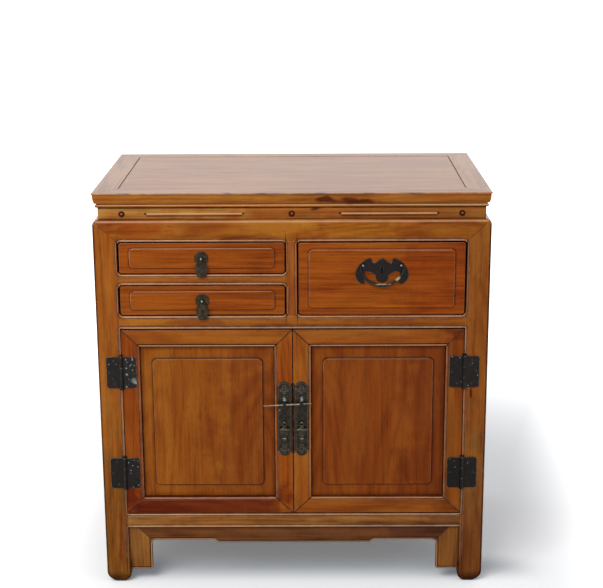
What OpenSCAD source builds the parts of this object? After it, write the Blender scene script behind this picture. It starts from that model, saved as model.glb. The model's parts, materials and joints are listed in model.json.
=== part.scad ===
// Side cabinet with three drawers and two doors, in frame-and-panel hardwood.
// Seen from the front: X runs to the right, Y runs away into the cabinet, Z runs up.
// The pieces are drawn in the cabinet's own frame, with the front of the legs at Y = 0 and the floor at Z = 0,
// and are then moved so that the origin is on the floor, below the middle of the whole box.

/* [Body] */
// Width over the legs
body_w = 800; // [760:5:860]
// Depth over the legs
body_d = 479; // [440:1:520]
// Height from the floor to the top
body_h = 846; // [820:1:880]

/* [Legs] */
// Width of a leg, seen from the front
leg_w = 48; // [44:1:54]
// Depth of a leg, seen from the side
leg_d = 48; // [44:1:54]
// Rounding of a leg's outer corner
leg_edge_r = 4; // [2:0.5:6]
// Height of the thicker foot, below its sloping swell
foot_h = 45.5; // [40:0.5:52]
// How far the foot swells past the leg on its inner sides
foot_flare = 4; // [2:0.5:6]
// Height of the sloping swell above the foot
foot_swell_h = 13.5; // [9:0.5:18]
// Width of the rounding of the foot's outer lower edges
foot_outer_w = 17; // [10:0.5:20]
// Height of the rounding of the foot's outer lower edges
foot_outer_h = 26; // [18:0.5:32]
// Width of the rounding of the foot's inner lower edges
foot_inner_w = 12; // [8:0.5:16]
// Height of the rounding of the foot's inner lower edges
foot_inner_h = 17; // [10:0.5:22]

/* [Rails] */
// Height of the rails that join the legs at the top
upper_rail_h = 43.4; // [40:0.2:48]
// Height of the rail between the two small drawers
drawer_rail_h = 21; // [18:0.5:26]
// Height of the rail between the drawers and the doors
middle_rail_h = 26.4; // [24:0.2:32]
// Height of the rail under the doors
bottom_rail_h = 30; // [26:0.5:36]
// Depth of the front rails and of the divider
rail_d = 30; // [26:1:34]
// Thickness of the side and back rails
side_rail_t = 22; // [20:0.5:26]
// Rounding of the shoulder below the waist
shoulder_r = 10.5; // [6:0.5:12]
// Width of the upright divider between the drawers
divider_w = 22.7; // [20:0.1:26]
// Place of the divider's middle, left of the cabinet's middle
divider_shift = 1.1; // [0:0.1:10]
// Thickness of a tenon
tenon_t = 8; // [6:0.5:10]
// Length of a tenon
tenon_l = 16; // [10:1:17]
// Shoulder above and below a tenon
tenon_shoulder = 4; // [3:0.5:6]

/* [Openings] */
// Height of the upper small drawer's opening
upper_open_h = 68.4; // [64:0.2:72]
// Height of the lower small drawer's opening
lower_open_h = 66.3; // [62:0.1:70]
// Height of the doors' opening
door_open_h = 408.6; // [390:0.2:420]
// Least height of the bottom rail above the floor; the doors are made lower where it would be less
least_leg_h = 75; // [70:1:100]
// Rounding of the corners of the drawer openings
corner_r = 8; // [7:0.5:10]
// Width of the bead along the edges of the openings
bead_w = 3.6; // [2.5:0.1:5]
// Width of the fine groove beside the bead
quirk_w = 1.2; // [0.8:0.1:2]
// Depth of the fine groove beside the bead
quirk_d = 1.4; // [0.8:0.1:2]

/* [Top] */
// Thickness of the top frame
top_t = 30; // [29.5:0.5:34]
// Width of the front member of the top frame
top_front_w = 54; // [48:1:64]
// Width of the two end members of the top frame
top_end_w = 48; // [42:1:56]
// Width of the back member of the top frame
top_back_w = 40; // [36:1:56]
// Thickness of the top panel
top_panel_t = 12; // [10:0.5:14]
// Depth of the panel below the top frame's surface
top_panel_sink = 0.6; // [0.2:0.1:1.5]
// Width of the seam round the top panel
seam_w = 0.9; // [0.5:0.1:1.5]
// Width of a batten under the top panel
batten_w = 42; // [30:1:60]
// Distance of each batten from the middle
batten_x = 165; // [120:5:200]
// Height of the edge moulding's fillet, just below the surface
lip_h = 2.6; // [2:0.1:3.4]
// Bevel of the top's upper edge
top_arris = 0.8; // [0.4:0.1:1.2]
// Set-back of the edge moulding's rounded band below the fillet
band_in = 2.2; // [1:0.1:3]
// Height of the edge moulding's rounded band
band_h = 18.4; // [15:0.1:19.4]
// How far the rounded band draws in towards its foot
band_draw = 4.3; // [3:0.1:6]
// Radius of the bead at the foot of the edge moulding
edge_bead_r = 3; // [2.4:0.1:3.4]
// Set-back of the middle of that bead
edge_bead_in = 9.2; // [8.6:0.1:10]

/* [Waist] */
// Height of the waist
waist_h = 25; // [22:0.5:30]
// Set-back of the waist behind the legs
waist_in = 11; // [10:0.5:13]
// Thickness of the waist boards
waist_t = 18; // [14:0.5:20]
// Nearer end of each raised bead on the waist, from the middle
waist_bead_x0 = 99; // [80:1:120]
// Farther end of each raised bead on the waist, from the leg's outer face
waist_bead_x1 = 109; // [90:1:150]
// Height of the raised bead
waist_bead_h = 7; // [5:0.5:9]
// How far the raised bead stands proud
waist_bead_out = 2.4; // [1.5:0.1:3]
// Place of the raised bead and of the bosses above the shoulder
waist_bead_z = 11; // [9:0.5:13]
// Radius of a domed boss
boss_r = 5.5; // [4:0.5:7]
// How far a boss stands proud
boss_out = 3; // [2:0.5:4]
// Distance of the outer bosses from the leg's outer face
boss_x = 59; // [50:1:75]
// Radius of a boss's peg
peg_r = 3; // [2:0.5:3.5]
// Length of a boss's peg
peg_l = 12; // [8:1:13]

/* [Apron] */
// Height of the apron near the legs
apron_h = 32.2; // [28:0.2:36]
// How far the middle of the apron drops below its ends
apron_drop = 6.4; // [3:0.2:8]
// Half the length of the dropped middle, over its steps
apron_step_x = 169; // [140:1:200]
// Length of the step in the lower edge
apron_step_l = 9; // [6:1:14]
// Thickness of the aprons and brackets
apron_t = 12; // [10:0.5:14]
// Set-back of the aprons and brackets behind the legs
apron_in = 7; // [4:0.5:9]
// Width of a bracket beside a leg
bracket_w = 49.5; // [40:0.5:58]
// Height of a bracket's lower end above the floor
bracket_z = 27; // [20:1:36]
// Rounding of a bracket's inner lower corner
bracket_r = 3; // [2:0.5:5]

/* [Panels and boards] */
// Thickness of the side panels
side_panel_t = 8; // [6:0.5:10]
// Set-back of the side panels behind the legs
side_panel_in = 6; // [4:0.5:8]
// Thickness of the back panels
back_panel_t = 6; // [5:0.5:8]
// Set-back of the back panels in front of the legs' back
back_panel_in = 8; // [6:0.5:10]
// Depth of the grooves that hold panels and boards
groove_d = 7; // [5:0.5:8]
// Thickness of the board under the drawers
dust_board_t = 8; // [6:0.5:10]
// Depth of the dust board's upper face below the drawer openings
dust_board_sink = 12; // [10:0.5:14]
// Thickness of the cupboard's floor
floor_board_t = 10; // [8:0.5:12]
// Depth of the cupboard floor's upper face below the doors' opening
floor_board_sink = 5; // [4:0.5:10]
// Thickness of the partition between the drawers
partition_t = 16; // [12:0.5:20]
// Width of a drawer runner
runner_w = 22; // [20:1:26]
// Height of a runner of the upper small drawer
runner_h = 17; // [14:1:19]

/* [Drawers] */
// Gap round a drawer front
drawer_gap = 2.6; // [2.4:0.1:3.2]
// Thickness of a drawer front
front_t = 18; // [16:0.5:22]
// How far the raised field stands proud of a drawer front's margin
field_out = 2; // [1:0.1:3]
// Margin beside the raised field of a drawer front
field_margin_x = 21; // [15:0.5:26]
// Margin above and below the raised field of a small drawer front
small_margin_z = 11.5; // [9:0.5:14]
// Margin above and below the raised field of the large drawer front
large_margin_z = 15; // [12:0.5:18]
// Rounding of the corners of a raised field
field_r = 7; // [4:0.5:10]
// Thickness of a drawer side
drawer_side_t = 11; // [9:0.5:13]
// Thickness of a drawer back
drawer_back_t = 9; // [8:0.5:12]
// Thickness of a drawer bottom
drawer_bottom_t = 6; // [5:0.5:8]
// Height of the drawer bottom above the runners
drawer_bottom_up = 7; // [5:0.5:9]
// Depth of the grooves that hold a drawer bottom
drawer_groove_d = 5; // [4:0.5:6]
// How deep a drawer side is let into the drawer front
lap_l = 8; // [6:0.5:10]
// How far the drawer sides stop below the top of the front
drawer_side_drop = 6; // [4:0.5:10]
// Length of a drawer over its front and sides
drawer_len = 425; // [380:5:430]
// Least gap behind a drawer; the cabinet is made deeper where it would be less
drawer_back_gap = 1; // [0.5:0.5:10]

/* [Doors] */
// Thickness of the door frames
door_t = 22; // [20:0.5:26]
// Width of the door stiles
stile_w = 36; // [32:0.5:40]
// Width of the door rails
door_rail_w = 34.8; // [32:0.2:40]
// Gap above and below a door
door_gap_z = 2.8; // [2:0.1:4]
// Gap beside a door, at its hinges
door_gap_x = 1.4; // [1.2:0.1:2]
// Gap between the two doors
door_gap_mid = 1.6; // [1.4:0.1:2.4]
// Thickness of a door panel over its raised field
door_panel_t = 10; // [9:0.5:12]
// Set-back of the raised field behind the door frame's face
door_field_in = 3.5; // [2.5:0.5:5]
// How far the raised field stands proud of the panel's margin
door_field_out = 3.5; // [2.5:0.5:4]
// Margin beside the raised field of a door
door_margin_x = 26; // [20:0.5:32]
// Margin above and below the raised field of a door
door_margin_z = 28.5; // [22:0.5:34]
// Rounding of the corners of a door's raised field
door_field_r = 9; // [6:0.5:12]
// Thickness of the tongue round a door panel
door_tongue_t = 4; // [3:0.5:5]

/* [Hinges] */
// Width of one hinge leaf, from the barrel's middle
leaf_w = 31; // [28:0.5:33]
// Height of a hinge
leaf_h = 68; // [60:1:76]
// Thickness of a hinge leaf
leaf_t = 1.8; // [1.4:0.1:2.2]
// Rounding of a leaf's outer corners
leaf_r = 6; // [3:0.5:7]
// Radius of the hinge barrel
barrel_r = 3.5; // [3:0.1:4]
// Distance of the barrel's middle in front of the door
barrel_out = 3.7; // [3.6:0.1:4.4]
// Radius of the hinge pin
hinge_pin_r = 1.6; // [1.2:0.1:1.8]
// How far the hinge pin stands out of the barrel at each end
hinge_pin_out = 1.6; // [1:0.2:3]
// Height of the lower hinges' middle above the bottom rail
lower_hinge_up = 94; // [80:0.5:110]
// Depth of the upper hinges' middle below the middle rail
upper_hinge_down = 93; // [80:0.5:110]
// Radius of a nail's domed head
nail_head_r = 2.6; // [2:0.1:3]
// Height of a nail's domed head
nail_head_h = 1.2; // [0.8:0.1:1.4]
// Radius of a nail's shank
nail_r = 1.1; // [0.8:0.1:1.4]
// Length of a nail below its head
nail_l = 14; // [10:1:16]
// Distance of the upper and lower nails from the leaf's middle
nail_z = 25; // [20:1:27]

/* [Lock plates] */
// Width of a lock plate
plate_w = 29; // [26:0.5:30]
// Height of a lock plate
plate_h = 163; // [150:1:180]
// Thickness of the lock plates and of the drawers' plates
plate_t = 1.8; // [1.4:0.1:2.2]
// Distance of a lock plate's middle from the cabinet's middle
plate_x = 18; // [17:0.5:19]
// Height of the lock plates' lower ends above the bottom rail
plate_up = 132.5; // [120:0.5:150]
// Width of the dome on top of a lock plate
plate_dome_w = 21; // [16:0.5:23]
// Height of the dome on top of a lock plate
plate_dome_h = 8.5; // [5:0.5:11]
// Width of the round lower end of a lock plate
plate_foot_w = 23; // [18:0.5:24]
// Height of the round lower end of a lock plate
plate_foot_h = 10.5; // [7:0.5:12]
// Rounding of a lock plate's shoulders, above and below
plate_r = 2.5; // [1.5:0.5:3]
// Width of the lug that stands on a lock plate
lug_w = 7.5; // [6:0.5:9]
// Height of the lug
lug_h = 20; // [16:0.5:24]
// How far the lug stands out from the door
lug_out = 15; // [14:0.5:17]
// Radius of the lug's round head
lug_head_r = 5.6; // [4.5:0.1:6]
// Height of the lug's tail through the door
lug_tail_h = 8; // [6:0.5:10]
// Width of the lug's tail
lug_tail_w = 5; // [4:0.5:5.5]
// How far the tails of lugs, eyes and posts come out behind the board
tail_out = 2; // [1:0.5:4]
// Height of the lock pin above the lower end of a lock plate, in the middle between the plates
lock_pin_up = 115.5; // [105:0.5:120]
// Radius of the lock pin
lock_pin_r = 1.75; // [1.5:0.05:2]
// Length of the lock pin
lock_pin_l = 99; // [90:1:110]
// Place of the lock pin's middle, left of the cabinet's middle
lock_pin_shift = 11; // [5:1:14]
// Slope of the lock pin, in degrees
lock_pin_slope = 2.8; // [0:0.1:4]
// Radial clearance round the lock pin in the lugs
lock_pin_slack = 0.3; // [0.2:0.05:0.5]

/* [Drop pulls] */
// Radius of the round plates behind the small drawers' pulls
rosette_r = 15; // [13:0.5:17]
// Radius of the lobes round the edge of these plates
rosette_lobe_r = 4.6; // [4:0.1:5.5]
// Radius of the shanks of eyes and posts
eye_r = 2; // [1.8:0.1:2.2]
// Distance of the pull's bar in front of the face
eye_out = 6.2; // [6:0.1:7]
// Radius of an eye's round head
eye_head_r = 3.2; // [2.8:0.1:3.6]
// Width of an eye's round head
eye_head_w = 5; // [4.6:0.1:5.6]
// Radius of the bar that a pull hangs by
bar_r = 1.2; // [1:0.1:1.4]
// Radial clearance of a bar in its eye
bar_slack = 0.08; // [0.05:0.01:0.1]
// Thickness of a pull
pull_t = 2.6; // [2:0.1:3]
// Length of a small drawer's pull below its bar
pull_l = 38.5; // [34:0.5:42]
// Width of a small drawer's pull
pull_w = 27; // [24:0.5:30]
// Width of the neck of a small drawer's pull
pull_neck_w = 12; // [10:0.5:16]
// Depth of that pull's widest place below its bar
pull_shoulder = 21.6; // [18:0.2:24]
// Length of a door's pull below its bar
door_pull_l = 41; // [36:0.5:44]
// Width of the rim of a door's pull
door_pull_w = 22; // [18:0.5:24]
// Depth of the rim below the bar
basket_shoulder = 12.5; // [10:0.5:15]
// Height of the rim
basket_rim_h = 4; // [3:0.5:6]
// Width of the basket's foot
basket_foot_w = 9; // [7:0.5:12]
// Radius of the finial under the basket
finial_r = 4; // [3:0.5:4.5]
// Gap between an eye and the arms of its pull
arm_gap = 0.5; // [0.4:0.1:0.8]
// Gap between an eye and the pull below it
pull_top_gap = 1.6; // [1.2:0.1:2]
// Width of an arm of a pull
arm_w = 2; // [1.6:0.1:2.4]
// Height of the door pulls' bars above the lower end of a lock plate
door_eye_up = 74; // [68:0.5:80]
// Height of a small drawer's eye above the middle of its front
eye_up = -0.5; // [-4:0.5:4]

/* [Bail handle] */
// Distance of each bail post from the plate's middle
post_x = 38.5; // [36:0.5:41]
// Height of the posts above the middle of the large drawer's front
post_up = 28.5; // [20:0.5:34]
// Radius of a bail post
post_r = 2.8; // [2.4:0.1:3.4]
// Distance of the bail's bar in front of the face
post_out = 7; // [6.4:0.1:8]
// Depth of the bail from its posts to its lowest point
bail_drop = 43; // [40:0.5:48]
// Gap between a post and the side of the bail
bail_gap = 0.7; // [0.5:0.1:1.2]
// How far the ends of the bail rise above its bar
bail_end_up = 0.6; // [0.4:0.1:1]
// Thickness of the bail at its sides
bail_side_t = 3.2; // [3:0.1:4]
// Thickness of the bail at its lowest point
bail_low_t = 5.8; // [5:0.1:7]
// Depth of the bail from front to back
bail_t = 3.6; // [3:0.1:4]
// Half the width of the bat-shaped plate
bat_half_w = 54; // [50:0.5:56]
// Depth of the keyhole's middle below the posts
keyhole_down = 7; // [5:0.5:9]
// Radius of the keyhole
keyhole_r = 2.4; // [2:0.1:3]
// Width of the keyhole's slot
keyhole_slot_w = 2.4; // [1.6:0.2:3.2]
// Length of the keyhole's slot below its middle
keyhole_slot_l = 11; // [8:0.5:13]
// Depth of the keyhole into the drawer front
keyhole_d = 6; // [4:0.5:10]

/* [Fits] */
// Clearance of tenons, tongues and boards in their seats
fit = 0.15; // [0.1:0.05:0.3]
// Gap between a panel's edge and the bottom of its groove
groove_end_gap = 0.5; // [0.3:0.1:1]
// Running gap of the drawers above their runners
run_gap = 0.3; // [0.2:0.05:0.5]
// Gap between the knuckles of a hinge
knuckle_gap = 0.4; // [0.3:0.05:0.6]

/* [Hidden] */
$fn = 48;

honey = [0.62, 0.38, 0.15];
russet = [0.58, 0.31, 0.12];
pale_wood = [0.72, 0.55, 0.36];
dark_iron = [0.15, 0.14, 0.13];
pale_brass = [0.72, 0.62, 0.42];

// Heights, from the floor up
frame_top = body_h - top_t - waist_h;
upper_open_top = frame_top - upper_rail_h;
drawer_rail_top = upper_open_top - upper_open_h;
lower_open_top = drawer_rail_top - drawer_rail_h;
middle_rail_top = lower_open_top - lower_open_h;
door_open_top = middle_rail_top - middle_rail_h;
bottom_rail_top = max(door_open_top - door_open_h, least_leg_h + bottom_rail_h);
bottom_rail_z = bottom_rail_top - bottom_rail_h;
dust_board_top = middle_rail_top - dust_board_sink;
floor_board_top = bottom_rail_top - floor_board_sink;

// Widths, from the middle outwards
half_w = body_w / 2;
open_x = half_w - leg_w;
divider_x0 = -divider_shift - divider_w / 2;
divider_x1 = divider_x0 + divider_w;
partition_x0 = -divider_shift - partition_t / 2;
partition_x1 = partition_x0 + partition_t;

// Depths, from the front backwards
case_d = max(body_d, drawer_len + drawer_back_gap + back_panel_t + back_panel_in);
back_rail_y = case_d - side_rail_t;
back_panel_y = case_d - back_panel_in - back_panel_t;

// The lugs reach farthest forward, so half their reach centres the box
front_y = -(case_d - lug_out) / 2;

// A cut runs this far past the surface it opens
past = 5;
// Two shapes that make one solid run this far into each other
lap = 1;

// Doors
door_z0 = bottom_rail_top + door_gap_z;
door_z1 = door_open_top - door_gap_z;
door_x0 = open_x - door_gap_x;
door_x1 = door_gap_mid / 2;
door_groove_y = door_field_in + door_field_out + (door_panel_t - door_field_out - door_tongue_t) / 2;
upper_hinge_z = door_open_top - upper_hinge_down;
lower_hinge_z = bottom_rail_top + lower_hinge_up;
plate_z0 = bottom_rail_top + plate_up;
door_eye_z = plate_z0 + door_eye_up;
lock_pin_z = plate_z0 + lock_pin_up;

// Height of the lock pin's line at a given x
function pin_line(x) = lock_pin_z + x * tan(lock_pin_slope);

// Pulls
arm_x = eye_head_w / 2 + arm_gap + arm_w / 2;
pull_top = eye_head_r + pull_top_gap;

// Each drawer is [left, right, bottom, top] of its opening
upper_left = [-open_x, divider_x0, drawer_rail_top, upper_open_top];
lower_left = [-open_x, divider_x0, middle_rail_top, lower_open_top];
right_bay = [divider_x1, open_x, middle_rail_top, upper_open_top];

function mid_x(bay) = (bay[0] + bay[1]) / 2;
function mid_z(bay) = (bay[2] + bay[3]) / 2;

// Middle between the bail's posts
bat_x = mid_x(right_bay);
bat_z = mid_z(right_bay) + post_up;

// Points along an arc of an ellipse about [cx, cz]
function arc(cx, cz, rx, rz, from, to, steps) =
    [for (i = [0:steps]) let (a = from + (to - from) * i / steps) [cx + rx * cos(a), cz + rz * sin(a)]];

// A flat shape of (y, z) drawn out along x
module along_x(x0, x1) {
    translate([x0, 0, 0]) rotate([90, 0, 90]) linear_extrude(x1 - x0) children();
}

// A flat shape of (x, z) drawn out along y
module along_y(y0, y1) {
    translate([0, y1, 0]) rotate([90, 0, 0]) linear_extrude(y1 - y0) children();
}

// A flat shape of (x, y) drawn out along z
module along_z(z0, z1) {
    translate([0, 0, z0]) linear_extrude(z1 - z0) children();
}

module block(x0, x1, y0, y1, z0, z1) {
    translate([x0, y0, z0]) cube([x1 - x0, y1 - y0, z1 - z0]);
}

module rect(x0, x1, z0, z1) {
    translate([x0, z0]) square([x1 - x0, z1 - z0]);
}

// A rectangle with round corners
module soft_rect(x0, x1, z0, z1, r) {
    rect(x0 + r, x1 - r, z0, z1);
    rect(x0, x1, z0 + r, z1 - r);
    for (x = [x0 + r, x1 - r], z = [z0 + r, z1 - r])
        translate([x, z]) circle(r);
}

// Moves a piece from the cabinet's frame to the part's frame
module in_frame() {
    translate([0, front_y, 0]) children();
}

// A piece and its twin on the other side
module both_sides() {
    children();
    mirror([1, 0, 0]) children();
}

module at_back() {
    translate([0, case_d, 0]) mirror([0, 1, 0]) children();
}

// Fine grooves that set the beads off

// Ring-shaped groove round an opening, cut into the front
module quirk_ring(x0, x1, z0, z1, r) {
    grow = bead_w + quirk_w;
    along_y(-past, quirk_d) difference() {
        if (r > 0) soft_rect(x0 - grow, x1 + grow, z0 - grow, z1 + grow, r + grow);
        else rect(x0 - grow, x1 + grow, z0 - grow, z1 + grow);
        if (r > 0) soft_rect(x0 - bead_w, x1 + bead_w, z0 - bead_w, z1 + bead_w, r + bead_w);
        else rect(x0 - bead_w, x1 + bead_w, z0 - bead_w, z1 + bead_w);
    }
}

module drawer_quirk(bay) {
    quirk_ring(bay[0], bay[1], bay[2], bay[3], corner_r);
}

module door_quirk() {
    quirk_ring(-open_x, open_x, bottom_rail_top, door_open_top, 0);
}

// Below the bottom rail the groove follows the rail and both legs down to the feet
module apron_quirk() {
    foot_top = foot_h + foot_swell_h;
    intersection() {
        quirk_ring(-open_x, open_x, 0, bottom_rail_z, 0);
        block(-half_w, half_w, -past, quirk_d, foot_top, bottom_rail_z + bead_w + quirk_w);
    }
}

// The same grooves round the side panels, cut into one side
module side_quirk() {
    side_open_z = frame_top - upper_rail_h;
    grow = bead_w + quirk_w;
    along_x(-half_w - past, -half_w + quirk_d) difference() {
        rect(leg_d - grow, case_d - leg_d + grow, bottom_rail_top - grow, side_open_z + grow);
        rect(leg_d - bead_w, case_d - leg_d + bead_w, bottom_rail_top - bead_w, side_open_z + bead_w);
    }
}

// Tenons, the same size as their mortises apart from the clearance c

// Tenon of a rail that runs along x, at the left end; the rail spans z0 to z1 and y0 to y1
module x_tenon(y0, y1, z0, z1, c) {
    y_mid = (y0 + y1) / 2;
    block(-open_x - tenon_l - c, -open_x + lap, y_mid - tenon_t / 2 - c, y_mid + tenon_t / 2 + c,
        z0 + tenon_shoulder - c, z1 - tenon_shoulder + c);
}

// Tenon of a left side rail, at its front end
module y_tenon(z0, z1, c) {
    x_mid = -half_w + side_rail_t / 2;
    block(x_mid - tenon_t / 2 - c, x_mid + tenon_t / 2 + c, leg_d - tenon_l - c, leg_d + lap,
        z0 + tenon_shoulder - c, z1 - tenon_shoulder + c);
}

// Short tenon of the drawer rail in the divider
module divider_tenon(c) {
    block(divider_x0 - lap, divider_x0 + groove_d + c, (rail_d - tenon_t) / 2 - c, (rail_d + tenon_t) / 2 + c,
        lower_open_top + tenon_shoulder - c, drawer_rail_top - tenon_shoulder + c);
}

// Panels that sit in grooves; c widens them to the groove

module side_panel_solid(c) {
    x0 = -half_w + side_panel_in;
    depth = groove_d + (c > 0 ? groove_end_gap : 0);
    block(x0 - c, x0 + side_panel_t + c, leg_d - depth, case_d - leg_d + depth,
        bottom_rail_top - depth, frame_top - upper_rail_h + depth);
}

module back_panel_solid(z0, z1, c) {
    depth = groove_d + (c > 0 ? groove_end_gap : 0);
    block(-open_x - depth, open_x + depth, back_panel_y - c, back_panel_y + back_panel_t + c,
        z0 - depth, z1 + depth);
}

// The upper rails' height is filled by the panel behind the drawers, up to the upper back rail
module back_panels_solid(c) {
    back_panel_solid(bottom_rail_top, door_open_top, c);
    back_panel_solid(middle_rail_top, upper_open_top, c);
}

// A level board between the rails, notched round the legs
module level_board(top, t) {
    clear = fit * 2;
    side_x = half_w - side_panel_in - side_panel_t - fit;
    block(-side_x, side_x, leg_d + clear, case_d - leg_d - clear, top - t, top);
    block(-open_x + clear, open_x - clear, rail_d - groove_d, back_rail_y + groove_d, top - t, top);
}

module level_groove(top, t) {
    block(-open_x - past, open_x + past, rail_d - groove_d - fit, back_rail_y + groove_d + fit,
        top - t - fit, top + fit);
}

// Nails of the hinges

// Places of the nails in a leaf, as [distance from the barrel, height from the middle]
function nail_spots() = [[leaf_w * 0.5, nail_z], [leaf_w * 0.8, 0], [leaf_w * 0.45, -nail_z]];

module at_hinges() {
    for (z = [lower_hinge_z, upper_hinge_z])
        translate([-open_x, 0, z]) children();
}

// Nails of the leaves; side -1 is on the leg, 1 on the door; grow widens the shanks to holes
module nails(side) {
    dome_r = (nail_head_r * nail_head_r + nail_head_h * nail_head_h) / (2 * nail_head_h);
    at_hinges() for (spot = nail_spots())
        translate([side * spot[0], -leaf_t, spot[1]]) {
            rotate([-90, 0, 0]) cylinder(r = nail_r, h = nail_l);
            intersection() {
                translate([0, dome_r - nail_head_h, 0]) sphere(dome_r);
                rotate([90, 0, 0]) cylinder(r = nail_head_r, h = nail_head_h * 2);
            }
        }
}

module nail_holes(side) {
    at_hinges() for (spot = nail_spots())
        translate([side * spot[0], -leaf_t - past, spot[1]])
            rotate([-90, 0, 0]) cylinder(r = nail_r + fit / 2, h = nail_l + past + fit);
}

// Legs

// Swell of a foot past the leg's inner face, as points up from the floor
function foot_swell(face) = [for (i = [0:4])
    [face + foot_flare * (1 + cos(45 * i)) / 2, foot_h + foot_swell_h * i / 4]];

// Outline of a leg from one side: mitred at the top, swelling into a rounded foot
module leg_outline(width) {
    flared = width + foot_flare;
    polygon(concat(
        arc(foot_outer_w, foot_outer_h, foot_outer_w, foot_outer_h, 180, 270, 8),
        arc(flared - foot_inner_w, foot_inner_h, foot_inner_w, foot_inner_h, 270, 360, 8),
        foot_swell(width),
        [[width, upper_open_top], [0, frame_top]]));
}

// The rounded shoulder at the top of the legs and upper rails
module shoulder_outline(depth) {
    rect(0, depth, -past, frame_top - shoulder_r);
    rect(shoulder_r, depth, -past, frame_top);
    translate([shoulder_r, frame_top - shoulder_r]) circle(shoulder_r);
}

// One leg with its outer corner at the origin
module leg_blank() {
    reach_x = leg_w + foot_flare;
    reach_y = leg_d + foot_flare;
    intersection() {
        along_y(0, reach_y) leg_outline(leg_w);
        along_x(0, reach_x) leg_outline(leg_d);
        along_x(0, reach_x) shoulder_outline(reach_y);
        along_y(0, reach_y) shoulder_outline(reach_x);
        along_z(-past, frame_top + past) {
            rect(leg_edge_r, reach_x, 0, reach_y);
            rect(0, reach_x, leg_edge_r, reach_y);
            translate([leg_edge_r, leg_edge_r]) circle(leg_edge_r);
        }
    }
}

// Mortises and grooves that every leg has on its inner sides
module leg_joints_side() {
    y_tenon(bottom_rail_z, bottom_rail_top, fit);
    side_panel_solid(fit);
    side_quirk();
}

module leg_front(left) {
    difference() {
        translate([-half_w, 0, 0]) leg_blank();
        leg_joints_side();
        x_tenon(0, rail_d, bottom_rail_z, bottom_rail_top, fit);
        x_tenon(0, rail_d, door_open_top, middle_rail_top, fit);
        if (left) x_tenon(0, rail_d, lower_open_top, drawer_rail_top, fit);
        if (left) drawer_quirk(upper_left);
        if (left) drawer_quirk(lower_left);
        if (!left) mirror([1, 0, 0]) drawer_quirk(right_bay);
        door_quirk();
        apron_quirk();
        nail_holes(-1);
    }
}

module leg_back() {
    difference() {
        at_back() difference() {
            translate([-half_w, 0, 0]) leg_blank();
            leg_joints_side();
        }
        x_tenon(back_rail_y, case_d, bottom_rail_z, bottom_rail_top, fit);
        x_tenon(back_rail_y, case_d, door_open_top, middle_rail_top, fit);
        back_panels_solid(fit);
    }
}

module leg_front_left() color(honey) in_frame() leg_front(true);
module leg_front_right() color(honey) in_frame() mirror([1, 0, 0]) leg_front(false);
module leg_back_left() color(honey) in_frame() leg_back();
module leg_back_right() color(honey) in_frame() mirror([1, 0, 0]) leg_back();

// Top

// Edge moulding of the top, as (distance in from the edge, height)
module top_profile(width) {
    band_top = body_h - lip_h - top_arris;
    band_foot = band_top - band_h;
    bead_mid = body_h - top_t + edge_bead_r;
    polygon(concat(
        [[width, body_h], [top_arris, body_h], [0, body_h - top_arris], [0, body_h - lip_h]],
        arc(band_in + band_draw, band_top, -band_draw, -band_h, 0, 90, 10),
        [[edge_bead_in, band_foot]],
        arc(edge_bead_in, bead_mid, -edge_bead_r, edge_bead_r, 90, -90, 10),
        [[width, body_h - top_t]]));
}

top_x = half_w - top_end_w;
top_panel_z = body_h - top_panel_sink - top_panel_t;
top_tongue_t = top_panel_t / 2;

// The panel's tongue, or with c the groove for it
module top_tongue(c) {
    depth = groove_d + (c > 0 ? groove_end_gap : 0);
    block(-top_x - depth, top_x + depth, top_front_w - depth, case_d - top_back_w + depth,
        top_panel_z - c, top_panel_z + top_tongue_t + c);
}

module top_rail_front() color(honey) in_frame() difference() {
    intersection() {
        along_x(-half_w, half_w) top_profile(top_front_w);
        along_z(0, body_h + past) polygon([[-half_w, 0], [half_w, 0], [top_x, top_end_w], [top_x, top_front_w],
            [-top_x, top_front_w], [-top_x, top_end_w]]);
    }
    top_tongue(fit);
}

module top_rail_back() color(honey) in_frame() difference() {
    at_back() intersection() {
        along_x(-half_w, half_w) top_profile(top_back_w);
        along_z(0, body_h + past) polygon([[-half_w, 0], [half_w, 0],
            [half_w - top_back_w, top_back_w], [top_back_w - half_w, top_back_w]]);
    }
    top_tongue(fit);
}

module top_ends() color(honey) in_frame() both_sides() difference() {
    intersection() {
        translate([-half_w, 0, 0]) along_y(0, case_d) top_profile(top_end_w);
        along_z(0, body_h + past) polygon([[-half_w, 0], [-top_x, top_end_w], [-top_x, case_d - top_back_w],
            [top_back_w - half_w, case_d - top_back_w], [-half_w, case_d]]);
    }
    top_tongue(fit);
}

module top_panel() color(russet) in_frame() {
    block(-top_x + seam_w, top_x - seam_w, top_front_w + seam_w, case_d - top_back_w - seam_w,
        top_panel_z, top_panel_z + top_panel_t);
    top_tongue(0);
}

module top_battens() color(pale_wood) in_frame() both_sides()
    block(batten_x - batten_w / 2, batten_x + batten_w / 2, top_front_w, case_d - top_back_w,
        body_h - top_t, top_panel_z);

// Waist

// Plan of one waist board at the front, mitred at both ends
module waist_plan(length) {
    end = length / 2 - waist_in;
    polygon([[-end, waist_in], [end, waist_in], [end - waist_t, waist_in + waist_t],
        [-end + waist_t, waist_in + waist_t]]);
}

module waist_front() color(honey) in_frame() {
    bead_r = (waist_bead_h * waist_bead_h / 4 + waist_bead_out * waist_bead_out) / (2 * waist_bead_out);
    bead_l = half_w - waist_bead_x1 - waist_bead_x0;
    difference() {
        union() {
            along_z(frame_top, frame_top + waist_h) waist_plan(body_w);
            both_sides() translate([waist_bead_x0, waist_in + bead_r - waist_bead_out, frame_top + waist_bead_z])
                rotate([0, 90, 0]) cylinder(r = bead_r, h = bead_l);
        }
        boss_pegs(fit / 2);
    }
}

boss_spots = [boss_x - half_w, 0, half_w - boss_x];

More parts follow.
